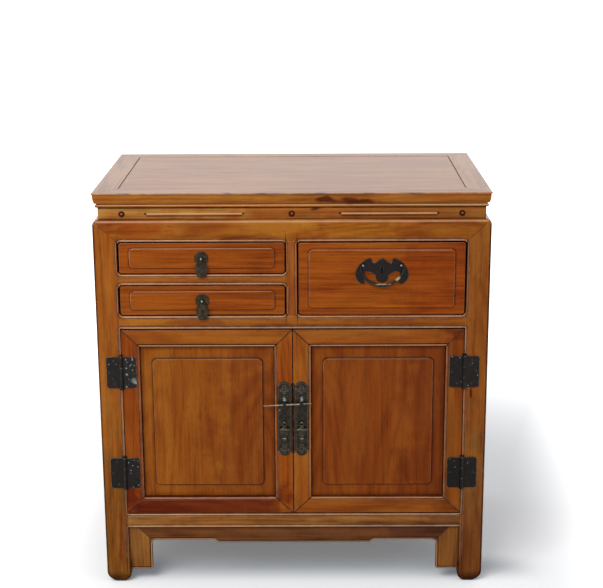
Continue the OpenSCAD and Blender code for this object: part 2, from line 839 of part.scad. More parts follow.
module boss_pegs(c) {
    for (x = boss_spots)
        translate([x, waist_in - c * past, frame_top + waist_bead_z])
            rotate([-90, 0, 0]) cylinder(r = peg_r + c, h = peg_l + c * 2 * past);
}

module waist_bosses() color(russet) in_frame() {
    dome_r = (boss_r * boss_r + boss_out * boss_out) / (2 * boss_out);
    boss_pegs(0);
    for (x = boss_spots)
        translate([x, waist_in, frame_top + waist_bead_z]) intersection() {
            translate([0, dome_r - boss_out, 0]) sphere(dome_r);
            rotate([90, 0, 0]) cylinder(r = boss_r, h = boss_out * 2);
        }
}

module waist_sides_back() color(honey) in_frame() along_z(frame_top, frame_top + waist_h) {
    both_sides() translate([-half_w, case_d / 2]) rotate(-90) waist_plan(case_d - 2 * fit);
    translate([0, case_d]) mirror([0, 1]) waist_plan(body_w);
}

// Frame rails

// Front shape of the upper rail, with the upper corners of the drawer openings left on it
module upper_rail_outline() {
    polygon([[-half_w, frame_top], [half_w, frame_top], [open_x, upper_open_top], [-open_x, upper_open_top]]);
}

// Round corners of an opening that stay on the rail above it (up = 1) or below it (up = -1)
module corner_strip(bay, z, up) {
    intersection() {
        difference() {
            rect(bay[0], bay[1], bay[2] - lap, bay[3] + lap);
            soft_rect(bay[0], bay[1], bay[2], bay[3], corner_r);
        }
        rect(bay[0], bay[1], up > 0 ? z - corner_r : z - lap, up > 0 ? z + lap : z + corner_r);
    }
}

module upper_rail_front() color(honey) in_frame() difference() {
    intersection() {
        union() {
            along_y(0, rail_d) upper_rail_outline();
            along_y(0, rail_d) corner_strip(upper_left, upper_open_top, 1);
            along_y(0, rail_d) corner_strip(right_bay, upper_open_top, 1);
        }
        along_x(-half_w, half_w) shoulder_outline(rail_d);
        along_z(0, body_h) polygon([[-half_w, 0], [half_w, 0],
            [half_w - leg_w, leg_d], [leg_w - half_w, leg_d]]);
    }
    drawer_quirk(upper_left);
    drawer_quirk(right_bay);
}

module upper_rails_side() color(honey) in_frame() both_sides() difference() {
    intersection() {
        along_x(-half_w, -half_w + side_rail_t) polygon([[0, frame_top], [case_d, frame_top],
            [case_d - leg_d, upper_open_top], [leg_d, upper_open_top]]);
        translate([-half_w, 0, 0]) along_y(0, case_d) shoulder_outline(side_rail_t);
        along_z(0, body_h) polygon([[-half_w, 0], [leg_w - half_w, leg_d],
            [leg_w - half_w, case_d - leg_d], [-half_w, case_d]]);
    }
    side_panel_solid(fit);
    side_quirk();
}

module upper_rail_back_shape() difference() {
    at_back() intersection() {
        along_y(0, side_rail_t) upper_rail_outline();
        along_x(-half_w, half_w) shoulder_outline(side_rail_t);
        along_z(0, body_h) polygon([[-half_w, 0], [half_w, 0],
            [half_w - leg_w, leg_d], [leg_w - half_w, leg_d]]);
    }
    back_panels_solid(fit);
}

module back_rail_shape(z0, z1) difference() {
    union() {
        block(-open_x, open_x, back_rail_y, case_d, z0, z1);
        both_sides() x_tenon(back_rail_y, case_d, z0, z1, 0);
    }
    back_panels_solid(fit);
    level_groove(dust_board_top, dust_board_t);
    level_groove(floor_board_top, floor_board_t);
}

module back_rails() color(honey) in_frame() {
    upper_rail_back_shape();
    back_rail_shape(door_open_top, middle_rail_top);
    back_rail_shape(bottom_rail_z, bottom_rail_top);
}

module drawer_rail() color(honey) in_frame() difference() {
    union() {
        along_y(0, rail_d) {
            rect(-open_x, divider_x0, lower_open_top, drawer_rail_top);
            corner_strip(upper_left, drawer_rail_top, -1);
            corner_strip(lower_left, lower_open_top, 1);
        }
        x_tenon(0, rail_d, lower_open_top, drawer_rail_top, 0);
        divider_tenon(0);
    }
    drawer_quirk(upper_left);
    drawer_quirk(lower_left);
}

module drawer_divider() color(honey) in_frame() difference() {
    block(divider_x0, divider_x1, 0, rail_d, middle_rail_top, upper_open_top);
    divider_tenon(fit);
    drawer_quirk(upper_left);
    drawer_quirk(lower_left);
    drawer_quirk(right_bay);
}

module middle_rail_front() color(honey) in_frame() difference() {
    union() {
        along_y(0, rail_d) {
            rect(-open_x, open_x, door_open_top, middle_rail_top);
            corner_strip(lower_left, middle_rail_top, -1);
            corner_strip(right_bay, middle_rail_top, -1);
        }
        both_sides() x_tenon(0, rail_d, door_open_top, middle_rail_top, 0);
    }
    drawer_quirk(lower_left);
    drawer_quirk(right_bay);
    door_quirk();
    level_groove(dust_board_top, dust_board_t);
}

module bottom_rail_front() color(honey) in_frame() difference() {
    union() {
        block(-open_x, open_x, 0, rail_d, bottom_rail_z, bottom_rail_top);
        both_sides() x_tenon(0, rail_d, bottom_rail_z, bottom_rail_top, 0);
    }
    door_quirk();
    apron_quirk();
    level_groove(floor_board_top, floor_board_t);
}

module bottom_rails_side() color(honey) in_frame() both_sides() difference() {
    union() {
        block(-half_w, -half_w + side_rail_t, leg_d, case_d - leg_d, bottom_rail_z, bottom_rail_top);
        y_tenon(bottom_rail_z, bottom_rail_top, 0);
        at_back() y_tenon(bottom_rail_z, bottom_rail_top, 0);
    }
    side_panel_solid(fit);
    side_quirk();
    block(-half_w + side_panel_in + side_panel_t, -half_w + side_rail_t + past, leg_d - past, case_d - leg_d + past,
        floor_board_top - floor_board_t - fit, bottom_rail_top + past);
}

// Panels and boards

module side_panels() color(russet) in_frame() both_sides() side_panel_solid(0);
module back_panels() color(pale_wood) in_frame() back_panels_solid(0);
module dust_board() color(pale_wood) in_frame() level_board(dust_board_top, dust_board_t);
module cupboard_floor() color(pale_wood) in_frame() level_board(floor_board_top, floor_board_t);

module drawer_partition() color(pale_wood) in_frame()
    block(partition_x0, partition_x1, rail_d, back_rail_y, dust_board_top, upper_open_top);

// A pair of runners for one bay, from z0 up to just below the drawer
module runner_pair(x0, x1, y1, z0, drawer_bottom) {
    block(x0, x0 + runner_w, rail_d, y1, z0, drawer_bottom - run_gap);
    block(x1 - runner_w, x1, rail_d, y1, z0, drawer_bottom - run_gap);
}

module drawer_runners() color(pale_wood) in_frame() {
    low = middle_rail_top + drawer_gap;
    high = drawer_rail_top + drawer_gap;
    runner_pair(-open_x, partition_x0, back_rail_y, dust_board_top, low);
    runner_pair(partition_x1, open_x, back_rail_y, dust_board_top, low);
    runner_pair(-open_x, partition_x0, back_panel_y, high - runner_h, high);
}

// Aprons

// Soft step in the apron's lower edge, from 0 at the ends to the drop in the middle
function step_points(drop, side) = drop == 0 ? [] : [for (i = [0:6])
    let (s = side < 0 ? i / 6 : 1 - i / 6)
    [side * (apron_step_x - apron_step_l * s), -drop * (1 - cos(180 * s)) / 2]];

// The apron's lower edge from left to right, raised by grow
function apron_line(turn_x, drop, grow) = let (z = bottom_rail_z - apron_h + grow)
    concat([[-turn_x, z]], [for (p = step_points(drop, -1)) [p[0], z + p[1]]],
        [for (p = step_points(drop, 1)) [p[0], z + p[1]]], [[turn_x, z]]);

// The apron between the mitres with its brackets
module apron_outline(half_len, drop) {
    turn_x = half_len - bracket_w;
    polygon(concat(apron_line(turn_x, drop, 0),
        [[turn_x + apron_h, bottom_rail_z], [-turn_x - apron_h, bottom_rail_z]]));
}

// Bracket at the left end, mitred to the apron and fitted to the swelling foot
module bracket_outline(half_len) {
    edge_z = bottom_rail_z - apron_h;
    turn_x = half_len - bracket_w;
    difference() {
        union() {
            polygon([[-half_len, bottom_rail_z], [-half_len, bracket_z], [-turn_x - bracket_r, bracket_z],
                [-turn_x, bracket_z + bracket_r], [-turn_x, edge_z], [-turn_x - apron_h, bottom_rail_z]]);
            translate([-turn_x - bracket_r, bracket_z + bracket_r]) circle(bracket_r);
        }
        polygon(concat([[-half_len - past, -past], [-half_len + foot_flare, -past]], foot_swell(-half_len),
            [[-half_len - past, foot_h + foot_swell_h]]));
    }
}

// The apron and brackets as one shape, drawn in by grow from the lower edges
module apron_edge(half_len, drop, grow) {
    turn_x = half_len - bracket_w + grow;
    polygon(concat(
        [[-half_len - past, bracket_z + grow], [-turn_x, bracket_z + grow]],
        apron_line(turn_x, drop, grow),
        [[turn_x, bracket_z + grow], [half_len + past, bracket_z + grow],
        [half_len + past, bottom_rail_z + past], [-half_len - past, bottom_rail_z + past]]));
}

module apron_bead_quirk(half_len, drop) {
    along_y(-past, quirk_d) difference() {
        apron_edge(half_len, drop, bead_w);
        apron_edge(half_len, drop, bead_w + quirk_w);
    }
}

// Moves a flat apron, drawn at the front with its face at y = 0, to its place
module front_apron_place() translate([0, apron_in, 0]) children();
module side_apron_place() {
    translate([-half_w + apron_in, case_d / 2, 0]) rotate([0, 0, -90]) children();
}

module apron_front() color(honey) in_frame() front_apron_place() difference() {
    along_y(0, apron_t) apron_outline(open_x, apron_drop);
    apron_bead_quirk(open_x, apron_drop);
}

module aprons_side() color(honey) in_frame() both_sides() side_apron_place() difference() {
    along_y(0, apron_t) apron_outline(case_d / 2 - leg_d, 0);
    apron_bead_quirk(case_d / 2 - leg_d, 0);
}

module bracket(half_len, drop) difference() {
    along_y(0, apron_t) bracket_outline(half_len);
    apron_bead_quirk(half_len, drop);
}

module apron_brackets() color(honey) in_frame() {
    front_apron_place() both_sides() bracket(open_x, apron_drop);
    both_sides() side_apron_place() both_sides() bracket(case_d / 2 - leg_d, 0);
}

// Hinges

// One leaf lying to the right of the barrel; own lists the knuckles that it carries, other the ones it clears
module leaf(own, other) {
    knuckle_h = (leaf_h - 2 * knuckle_gap) / 3;
    pitch = knuckle_h + knuckle_gap;
    difference() {
        union() {
            along_y(-leaf_t, 0) {
                rect(0, leaf_w - leaf_r, -leaf_h / 2, leaf_h / 2);
                rect(0, leaf_w, -leaf_h / 2 + leaf_r, leaf_h / 2 - leaf_r);
                for (z = [-leaf_h / 2 + leaf_r, leaf_h / 2 - leaf_r])
                    translate([leaf_w - leaf_r, z]) circle(leaf_r);
            }
            for (k = own) translate([0, -barrel_out, -leaf_h / 2 + k * pitch])
                cylinder(r = barrel_r, h = knuckle_h);
        }
        for (k = other) block(-past, barrel_r + knuckle_gap, -barrel_out - barrel_r - past, past,
            -leaf_h / 2 + k * pitch - knuckle_gap, -leaf_h / 2 + k * pitch + knuckle_h + knuckle_gap);
        translate([0, -barrel_out, -leaf_h / 2 - past])
            cylinder(r = hinge_pin_r + bar_slack, h = leaf_h + 2 * past);
    }
}

module leg_leaves() difference() {
    at_hinges() mirror([1, 0, 0]) leaf([0, 2], [1]);
    nail_holes(-1);
}

module door_leaves() difference() {
    at_hinges() leaf([1], [0, 2]);
    nail_holes(1);
}

module hinge_leaves_legs() color(dark_iron) in_frame() both_sides() leg_leaves();

module hinge_pins() color(dark_iron) in_frame() both_sides() at_hinges()
    translate([0, -barrel_out, -leaf_h / 2 - hinge_pin_out])
        cylinder(r = hinge_pin_r, h = leaf_h + 2 * hinge_pin_out);

module hinge_nails_legs() color(dark_iron) in_frame() both_sides() nails(-1);

// Doors, drawn as the left door and mirrored for the right

module door_opening_quirk() {
    along_y(-past, quirk_d) difference() {
        grow = bead_w + quirk_w;
        rect(-door_x0 + stile_w - grow, -door_x1 - stile_w + grow,
            door_z0 + door_rail_w - grow, door_z1 - door_rail_w + grow);
        rect(-door_x0 + stile_w - bead_w, -door_x1 - stile_w + bead_w,
            door_z0 + door_rail_w - bead_w, door_z1 - door_rail_w + bead_w);
    }
}

// The panel's tongue, or with c the groove for it
module door_tongue(c) {
    depth = groove_d + (c > 0 ? groove_end_gap : 0);
    block(-door_x0 + stile_w - depth, -door_x1 - stile_w + depth,
        door_groove_y - c, door_groove_y + door_tongue_t + c,
        door_z0 + door_rail_w - depth, door_z1 - door_rail_w + depth);
}

// Door rails are the part of the frame between two mitres
module door_rail_outline() {
    x0 = -door_x0;
    x1 = -door_x1;
    z0 = door_z0 + door_rail_w;
    z1 = door_z1 - door_rail_w;
    polygon([[x0, door_z0], [x1, door_z0], [x1 - stile_w, z0], [x0 + stile_w, z0]]);
    polygon([[x0, door_z1], [x0 + stile_w, z1], [x1 - stile_w, z1], [x1, door_z1]]);
}

module door_stile_outline() {
    x0 = -door_x0;
    x1 = -door_x1;
    z0 = door_z0 + door_rail_w;
    z1 = door_z1 - door_rail_w;
    polygon([[x0, door_z0], [x0 + stile_w, z0], [x0 + stile_w, z1], [x0, door_z1]]);
    polygon([[x1, door_z0], [x1, door_z1], [x1 - stile_w, z1], [x1 - stile_w, z0]]);
}

module door_stiles() difference() {
    along_y(0, door_t) door_stile_outline();
    door_tongue(fit);
    door_opening_quirk();
    nail_holes(1);
    lug_tail(fit / 2);
    translate([-plate_x, 0, door_eye_z]) eye_shank(door_t, fit / 2);
}

module door_rails() difference() {
    along_y(0, door_t) door_rail_outline();
    door_tongue(fit);
    door_opening_quirk();
}

module door_panel() {
    x0 = -door_x0 + stile_w;
    x1 = -door_x1 - stile_w;
    z0 = door_z0 + door_rail_w;
    z1 = door_z1 - door_rail_w;
    block(x0 + fit, x1 - fit, door_field_in + door_field_out, door_field_in + door_panel_t, z0 + fit, z1 - fit);
    along_y(door_field_in, door_field_in + door_panel_t)
        soft_rect(x0 + door_margin_x, x1 - door_margin_x, z0 + door_margin_z, z1 - door_margin_z, door_field_r);
    door_tongue(0);
}

// Plate with a domed top and a round lower end, each set in from the shoulders
module lock_plate_outline() {
    side = plate_w / 2 - plate_r;
    low = plate_z0 + plate_foot_h;
    high = plate_z0 + plate_h - plate_dome_h;
    translate([-plate_x, 0]) polygon(concat(
        arc(0, high, plate_dome_w / 2, plate_dome_h, 0, 180, 14),
        arc(-side, high - plate_r, plate_r, plate_r, 90, 180, 4),
        arc(-side, low + plate_r, plate_r, plate_r, 180, 270, 4),
        arc(0, low, plate_foot_w / 2, plate_foot_h, 180, 360, 14),
        arc(side, low + plate_r, plate_r, plate_r, 270, 360, 4),
        arc(side, high - plate_r, plate_r, plate_r, 0, 90, 4)));
}

// The lug's tail through the door, or with c the hole for it
module lug_tail(c) {
    block(-plate_x - lug_tail_w / 2 - c, -plate_x + lug_tail_w / 2 + c, -plate_t - past * (c > 0 ? 1 : 0),
        door_t + tail_out + c, pin_line(-plate_x) - lug_tail_h / 2 - c, pin_line(-plate_x) + lug_tail_h / 2 + c);
}

// Lug with its round head centred on the pin's line at the height z_mid
module lug(z_mid) {
    along_x(-plate_x - lug_w / 2, -plate_x + lug_w / 2) {
        translate([lug_head_r - lug_out, z_mid]) circle(lug_head_r);
        polygon([[lug_head_r - lug_out, z_mid - lug_head_r], [-plate_t, z_mid - lug_h / 2],
            [-plate_t, z_mid + lug_h / 2], [lug_head_r - lug_out, z_mid + lug_head_r]]);
    }
    lug_tail(0);
}

// The lock pin's line, as a rod of radius r
module pin_rod(r, length) {
    translate([-lock_pin_shift, lug_head_r - lug_out, pin_line(-lock_pin_shift)])
        rotate([0, 90 - lock_pin_slope, 0]) cylinder(r = r, h = length, center = true);
}

// The left door's lock plate; for the right door, side is -1 and the whole is mirrored afterwards
module lock_plate(side) {
    difference() {
        union() {
            difference() {
                along_y(-plate_t, 0) lock_plate_outline();
                lug_tail(fit / 2);
                translate([-plate_x, 0, door_eye_z]) eye_shank(door_t, fit / 2);
            }
            lug(pin_line(-side * plate_x));
        }
        mirror([side < 0 ? 1 : 0, 0, 0]) pin_rod(lock_pin_r + lock_pin_slack, lock_pin_l * 2);
    }
    translate([-plate_x, 0, door_eye_z]) pull_eye(door_t);
}

// Drop pulls

// Shank of an eye through a board of thickness t, or with c the hole for it
module eye_shank(t, c) {
    translate([0, -plate_t - past * (c > 0 ? 1 : 0), 0]) rotate([-90, 0, 0])
        cylinder(r = eye_r + c, h = plate_t + past * (c > 0 ? 1 : 0) + t + tail_out + c);
}

// Eye with its shank, a round head and the bore that the pull's bar turns in
module pull_eye(t) {
    difference() {
        union() {
            translate([0, -eye_out, 0]) rotate([-90, 0, 0]) cylinder(r = eye_r, h = eye_out + t + tail_out);
            translate([0, -eye_out, 0]) rotate([0, 90, 0]) cylinder(r = eye_head_r, h = eye_head_w, center = true);
        }
        translate([0, -eye_out, 0]) rotate([0, 90, 0])
            cylinder(r = bar_r + bar_slack, h = eye_head_w * 2, center = true);
    }
}

// Bar of a pull and the two arms that reach down beside the eye
module pull_bar() {
    rotate([0, 90, 0]) cylinder(r = bar_r, h = 2 * arm_x + arm_w, center = true);
    for (side = [-1, 1]) block(side * arm_x - arm_w / 2, side * arm_x + arm_w / 2,
        -bar_r, bar_r, -pull_top - arm_w, bar_r);
}

// Shield-shaped pull of a small drawer
module shield_pull() {
    low_r = pull_w / 2;
    pull_bar();
    along_y(-pull_t / 2, pull_t / 2) polygon(concat([[-pull_neck_w / 2, -pull_top], [-low_r, -pull_shoulder]],
        arc(0, low_r - pull_l, low_r, low_r, 180, 360, 20), [[low_r, -pull_shoulder], [pull_neck_w / 2, -pull_top]]));
}

// Basket-shaped pull of a door: a rim, a tapering body and a round finial
module basket_pull() {
    neck_x = arm_x + arm_w / 2;
    rim_x = door_pull_w / 2;
    finial_z = finial_r - door_pull_l;
    foot_z = finial_z + finial_r / 2;
    pull_bar();
    along_y(-pull_t / 2, pull_t / 2) {
        polygon([[-neck_x, -pull_top], [-rim_x, -basket_shoulder], [-rim_x, -basket_shoulder - basket_rim_h],
            [-basket_foot_w / 2, foot_z], [basket_foot_w / 2, foot_z],
            [rim_x, -basket_shoulder - basket_rim_h], [rim_x, -basket_shoulder], [neck_x, -pull_top]]);
        translate([0, finial_z]) circle(finial_r);
    }
}

// Moves a pull or plate to the middle of a small drawer's front
module at_eye(bay) translate([mid_x(bay), 0, mid_z(bay) + eye_up]) children();

// Round plate with a lobed edge, on a drawer front
module rosette() {
    lobes = 8;
    ring = rosette_r - rosette_lobe_r;
    along_y(-plate_t, 0) difference() {
        union() {
            circle(ring + rosette_lobe_r * 0.4);
            for (i = [0:lobes - 1]) rotate(i * 360 / lobes + 22.5) translate([ring, 0]) circle(rosette_lobe_r, $fn = 32);
        }
        circle(eye_r + fit / 2);
    }
}

// Drawers

module drawer_front(bay, margin_z) difference() {
    union() {
        along_y(field_out, front_t) face_outline(bay, 0, 0, corner_r - drawer_gap);
        along_y(0, front_t) face_outline(bay, field_margin_x, margin_z, field_r);
    }
    drawer_sides_solid(bay, fit);
    drawer_bottom_solid(bay, fit);
}

// Outline of a drawer front, drawn in by dx and dz
module face_outline(bay, dx, dz, r) {
    soft_rect(bay[0] + drawer_gap + dx, bay[1] - drawer_gap - dx,
        bay[2] + drawer_gap + dz, bay[3] - drawer_gap - dz, r);
}

module drawer_sides_solid(bay, c) {
    z0 = bay[2] + drawer_gap;
    z1 = bay[3] - drawer_gap - drawer_side_drop;
    x0 = bay[0] + drawer_gap;
    x1 = bay[1] - drawer_gap;
    over = c > 0 ? past : 0;
    for (span = [[x0 - over, x0 + drawer_side_t + c], [x1 - drawer_side_t - c, x1 + over]])
        block(span[0], span[1], front_t - lap_l - c, drawer_len, z0 - over, z1 + c);
}

module drawer_bottom_solid(bay, c) {
    z0 = bay[2] + drawer_gap + drawer_bottom_up;
    x0 = bay[0] + drawer_gap + drawer_side_t - drawer_groove_d;
    x1 = bay[1] - drawer_gap - drawer_side_t + drawer_groove_d;
    block(x0 - c, x1 + c, front_t - drawer_groove_d - c, drawer_len + (c > 0 ? past : 0),
        z0 - c, z0 + drawer_bottom_t + c);
}

module drawer_box(bay) {
    x0 = bay[0] + drawer_gap + drawer_side_t;
    x1 = bay[1] - drawer_gap - drawer_side_t;
    z0 = bay[2] + drawer_gap + drawer_bottom_up + drawer_bottom_t;
    difference() {
        drawer_sides_solid(bay, 0);
        drawer_bottom_solid(bay, fit);
    }
    drawer_bottom_solid(bay, 0);
    block(x0 + fit / 2, x1 - fit / 2, drawer_len - drawer_back_t, drawer_len,
        z0 + fit, bay[3] - drawer_gap - drawer_side_drop);
}

module small_front(bay) difference() {
    drawer_front(bay, small_margin_z);
    at_eye(bay) eye_shank(front_t, fit / 2);
}

module large_front() difference() {
    drawer_front(right_bay, large_margin_z);
    at_posts() eye_shank(front_t, fit / 2);
    along_y(-past, keyhole_d) keyhole(fit);
}

module small_plate(bay) at_eye(bay) {
    rosette();
    pull_eye(front_t);
}

module small_pull(bay) at_eye(bay) translate([0, -eye_out, 0]) shield_pull();

// Bail handle of the large drawer

module at_posts() for (side = [-1, 1]) translate([bat_x + side * post_x, 0, bat_z]) children();

// Post with a domed head and the bore that the bail's end turns in
module bail_post() difference() {
    rotate([90, 0, 0]) rotate_extrude() intersection() {
        union() {
            rect(0, eye_r, -front_t - tail_out, post_out);
            rect(0, post_r, plate_t, post_out);
            translate([0, post_out]) circle(post_r);
        }
        rect(0, post_r, -front_t - past, post_out + post_r);
    }
    translate([0, -post_out, 0]) rotate([0, 90, 0]) cylinder(r = bar_r + bar_slack, h = post_r * 4, center = true);
}

// Keyhole shape, widened by c
module keyhole(c) {
    translate([bat_x, bat_z - keyhole_down]) {
        circle(keyhole_r + c, $fn = 24);
        rect(-keyhole_slot_w / 2 - c, keyhole_slot_w / 2 + c, -keyhole_slot_l - c, 0);
    }
}

// Right half of the bat, for a half width of 54: from the crown over the wing's tip, round the wing and along
// its inner edge to the lobe
function bat_half() = concat(
    [[0, 14.5], [2.5, 14], [7, 10.8], [12, 6.6], [16.8, 4], [19.8, 6.5], [20.2, 10.5], [22, 13.8],
        [26, 14.6], [31, 13], [37, 9], [43, 3.6], [48.5, -2.6]],
    arc(36, -19, 18, 20.5, 40, -78, 14),
    [[37, -39.6], [34.4, -38.4], [33.6, -35.6], [35, -31]],
    arc(29, -21, 9, 7.6, -35, 95, 9),
    [[23.5, -13.8], [17.5, -17.6]],
    arc(0, -24.5, 13.4, 11, 18, -90, 10));

module bat_outline() {
    drawn_half_w = 54;
    right = bat_half() * (bat_half_w / drawn_half_w);
    polygon(concat([for (i = [len(right) - 1:-1:0]) right[i]], [for (i = [1:len(right) - 2]) [-right[i][0], right[i][1]]]));
}

module bat_plate() along_y(-plate_t, 0) difference() {
    translate([bat_x, bat_z]) bat_outline();
    keyhole(0);
    for (side = [-1, 1]) translate([bat_x + side * post_x, bat_z]) circle(eye_r + fit / 2);
}

// Bail: a crescent with its ends turned in through the posts
module bail() {
    side_x = post_x + post_r + bail_gap + bail_side_t / 2;
    outer_x = side_x + bail_side_t / 2;
    inner_x = side_x - bail_side_t / 2;
    top = bar_r + bail_end_up;
    translate([bat_x, -post_out, bat_z]) {
        along_y(-bail_t / 2, bail_t / 2) polygon(concat(
            [[-outer_x, top]], arc(0, 0, outer_x, bail_drop, 180, 360, 36), [[outer_x, top], [inner_x, top]],
            arc(0, 0, inner_x, bail_drop - bail_low_t, 360, 180, 36), [[-inner_x, top]]));
        for (side = [-1, 1]) translate([side * (side_x + post_x - post_r - bail_gap) / 2, 0, 0]) rotate([0, 90, 0])
            cylinder(r = bar_r, h = side_x - post_x + post_r + bail_gap, center = true);
    }
}

// Named pieces of the doors

module door_left_stiles() color(honey) in_frame() door_stiles();
module door_left_rails() color(honey) in_frame() door_rails();
module door_left_panel() color(russet) in_frame() door_panel();
module door_left_hinge_leaves() color(dark_iron) in_frame() door_leaves();
module door_left_nails() color(dark_iron) in_frame() nails(1);
module door_left_lock_plate() color(dark_iron) in_frame() lock_plate(1);
module door_left_pull() color(dark_iron) in_frame()
    translate([-plate_x, -eye_out, door_eye_z]) basket_pull();

module door_right_stiles() color(honey) in_frame() mirror([1, 0, 0]) door_stiles();
module door_right_rails() color(honey) in_frame() mirror([1, 0, 0]) door_rails();
module door_right_panel() color(russet) in_frame() mirror([1, 0, 0]) door_panel();
module door_right_hinge_leaves() color(dark_iron) in_frame() mirror([1, 0, 0]) door_leaves();
module door_right_nails() color(dark_iron) in_frame() mirror([1, 0, 0]) nails(1);
module door_right_lock_plate() color(dark_iron) in_frame() mirror([1, 0, 0]) lock_plate(-1);
module door_right_pull() color(dark_iron) in_frame() mirror([1, 0, 0])
    translate([-plate_x, -eye_out, door_eye_z]) basket_pull();

module lock_pin() color(pale_brass) in_frame() pin_rod(lock_pin_r, lock_pin_l);

// Named pieces of the drawers

module drawer_upper_left_front() color(russet) in_frame() small_front(upper_left);
module drawer_upper_left_box() color(pale_wood) in_frame() drawer_box(upper_left);
module drawer_upper_left_plate() color(dark_iron) in_frame() small_plate(upper_left);
module drawer_upper_left_pull() color(dark_iron) in_frame() small_pull(upper_left);
module drawer_lower_left_front() color(russet) in_frame() small_front(lower_left);
module drawer_lower_left_box() color(pale_wood) in_frame() drawer_box(lower_left);
module drawer_lower_left_plate() color(dark_iron) in_frame() small_plate(lower_left);
module drawer_lower_left_pull() color(dark_iron) in_frame() small_pull(lower_left);
module drawer_right_front() color(russet) in_frame() large_front();
module drawer_right_box() color(pale_wood) in_frame() drawer_box(right_bay);
module drawer_right_plate() color(dark_iron) in_frame() {
    bat_plate();
    at_posts() bail_post();
}
module drawer_right_bail() color(dark_iron) in_frame() bail();

leg_front_left();
leg_front_right();
leg_back_left();
leg_back_right();
top_rail_front();
top_rail_back();
top_ends();
top_panel();
top_battens();
waist_front();
waist_sides_back();
waist_bosses();
upper_rail_front();
upper_rails_side();
drawer_rail();
drawer_divider();
middle_rail_front();
bottom_rail_front();
bottom_rails_side();
back_rails();
side_panels();
back_panels();
dust_board();
cupboard_floor();
drawer_partition();
drawer_runners();
apron_front();
aprons_side();
apron_brackets();
hinge_leaves_legs();
hinge_pins();
hinge_nails_legs();
door_left_stiles();
door_left_rails();
door_left_panel();
door_left_hinge_leaves();
door_left_nails();
door_left_lock_plate();
door_left_pull();
door_right_stiles();
door_right_rails();
door_right_panel();
door_right_hinge_leaves();
door_right_nails();
door_right_lock_plate();
door_right_pull();
lock_pin();
drawer_upper_left_front();
drawer_upper_left_box();
drawer_upper_left_plate();
drawer_upper_left_pull();
drawer_lower_left_front();
drawer_lower_left_box();
drawer_lower_left_plate();
drawer_lower_left_pull();
drawer_right_front();
drawer_right_box();
drawer_right_plate();
drawer_right_bail();
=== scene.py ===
# %% [markdown]
# # A side cabinet with three drawers and two doors
#
# The real cabinet is built of oiled hardwood with mitred corners, fine beads along every opening, and dark
# brass fittings. The construction comes from the CAD frame. This script gives each board its softened edges
# and its own grain, builds the fittings with their relief, and sets up a plain studio.

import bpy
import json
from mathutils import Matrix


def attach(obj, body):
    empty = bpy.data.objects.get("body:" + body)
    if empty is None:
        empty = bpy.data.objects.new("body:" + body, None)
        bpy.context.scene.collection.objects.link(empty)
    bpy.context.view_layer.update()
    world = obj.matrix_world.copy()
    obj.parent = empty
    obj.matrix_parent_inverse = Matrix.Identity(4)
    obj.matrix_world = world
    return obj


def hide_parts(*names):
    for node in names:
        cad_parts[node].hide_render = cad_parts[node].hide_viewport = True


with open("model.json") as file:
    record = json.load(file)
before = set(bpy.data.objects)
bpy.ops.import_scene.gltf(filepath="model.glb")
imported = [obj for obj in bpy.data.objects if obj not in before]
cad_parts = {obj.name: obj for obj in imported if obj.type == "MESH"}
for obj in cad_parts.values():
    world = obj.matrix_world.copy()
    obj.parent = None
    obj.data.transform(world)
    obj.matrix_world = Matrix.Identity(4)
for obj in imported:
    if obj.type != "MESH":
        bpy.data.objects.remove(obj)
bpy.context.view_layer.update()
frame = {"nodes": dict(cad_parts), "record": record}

import json
import math

import bmesh
import bpy
import numpy as np
from mathutils import Matrix, Vector

node_body = {n: body for body, nodes in frame["record"]["behaviour"]["bodies"].items() for n in nodes}

# %% [markdown]
# ## Places on the cabinet
#
# The openings of the front are needed again and again, because dirt gathers along them. They are written
# down once, in metres, as left, right, low and high, in the plane of the front.

# %% Places
MM = 0.001
BOTH = (-1, 1)
FRONT_Y, SIDE_X, FRAME_TOP = -0.232, 0.4, 0.791
UPPER_DRAWER = (-0.352, -0.01245, 0.6792, 0.7476)
LOWER_DRAWER = (-0.352, -0.01245, 0.5919, 0.6582)
WIDE_DRAWER = (0.01025, 0.352, 0.5919, 0.7476)
DOORWAY = (-0.352, 0.352, 0.1569, 0.5655)
UNDER_RAIL = (-0.352, 0.352, -0.2, 0.1269)
SIDE_OPENING = (-0.184, 0.199, 0.1569, 0.7476)
OPENING_R, BEAD, QUIRK, DRAWER_GAP = 8 * MM, 3.6 * MM, 1.2 * MM, 2.6 * MM
# each opening of the front with the radius of its corners
FRONT_BEADS = [(UPPER_DRAWER, OPENING_R), (LOWER_DRAWER, OPENING_R), (WIDE_DRAWER, OPENING_R), (DOORWAY, 0.0),
               (UNDER_RAIL, 0.0)]
CORNER_X, CORNER_Z, RAIL_LOW = DOORWAY[1], UPPER_DRAWER[3], UNDER_RAIL[3]
HINGE_HEIGHTS = (0.4725, 0.2509)
BAT_X, BAT_Z = 0.181125, 0.69825
print("front openings:", UPPER_DRAWER, LOWER_DRAWER, WIDE_DRAWER, DOORWAY)

# %% [markdown]
# ## A short way to write shader nodes
#
# A material is a graph, and a graph is tedious to write node by node. This helper adds a node, fills its
# sockets with numbers or with other nodes' sockets, and returns the socket that it puts out.


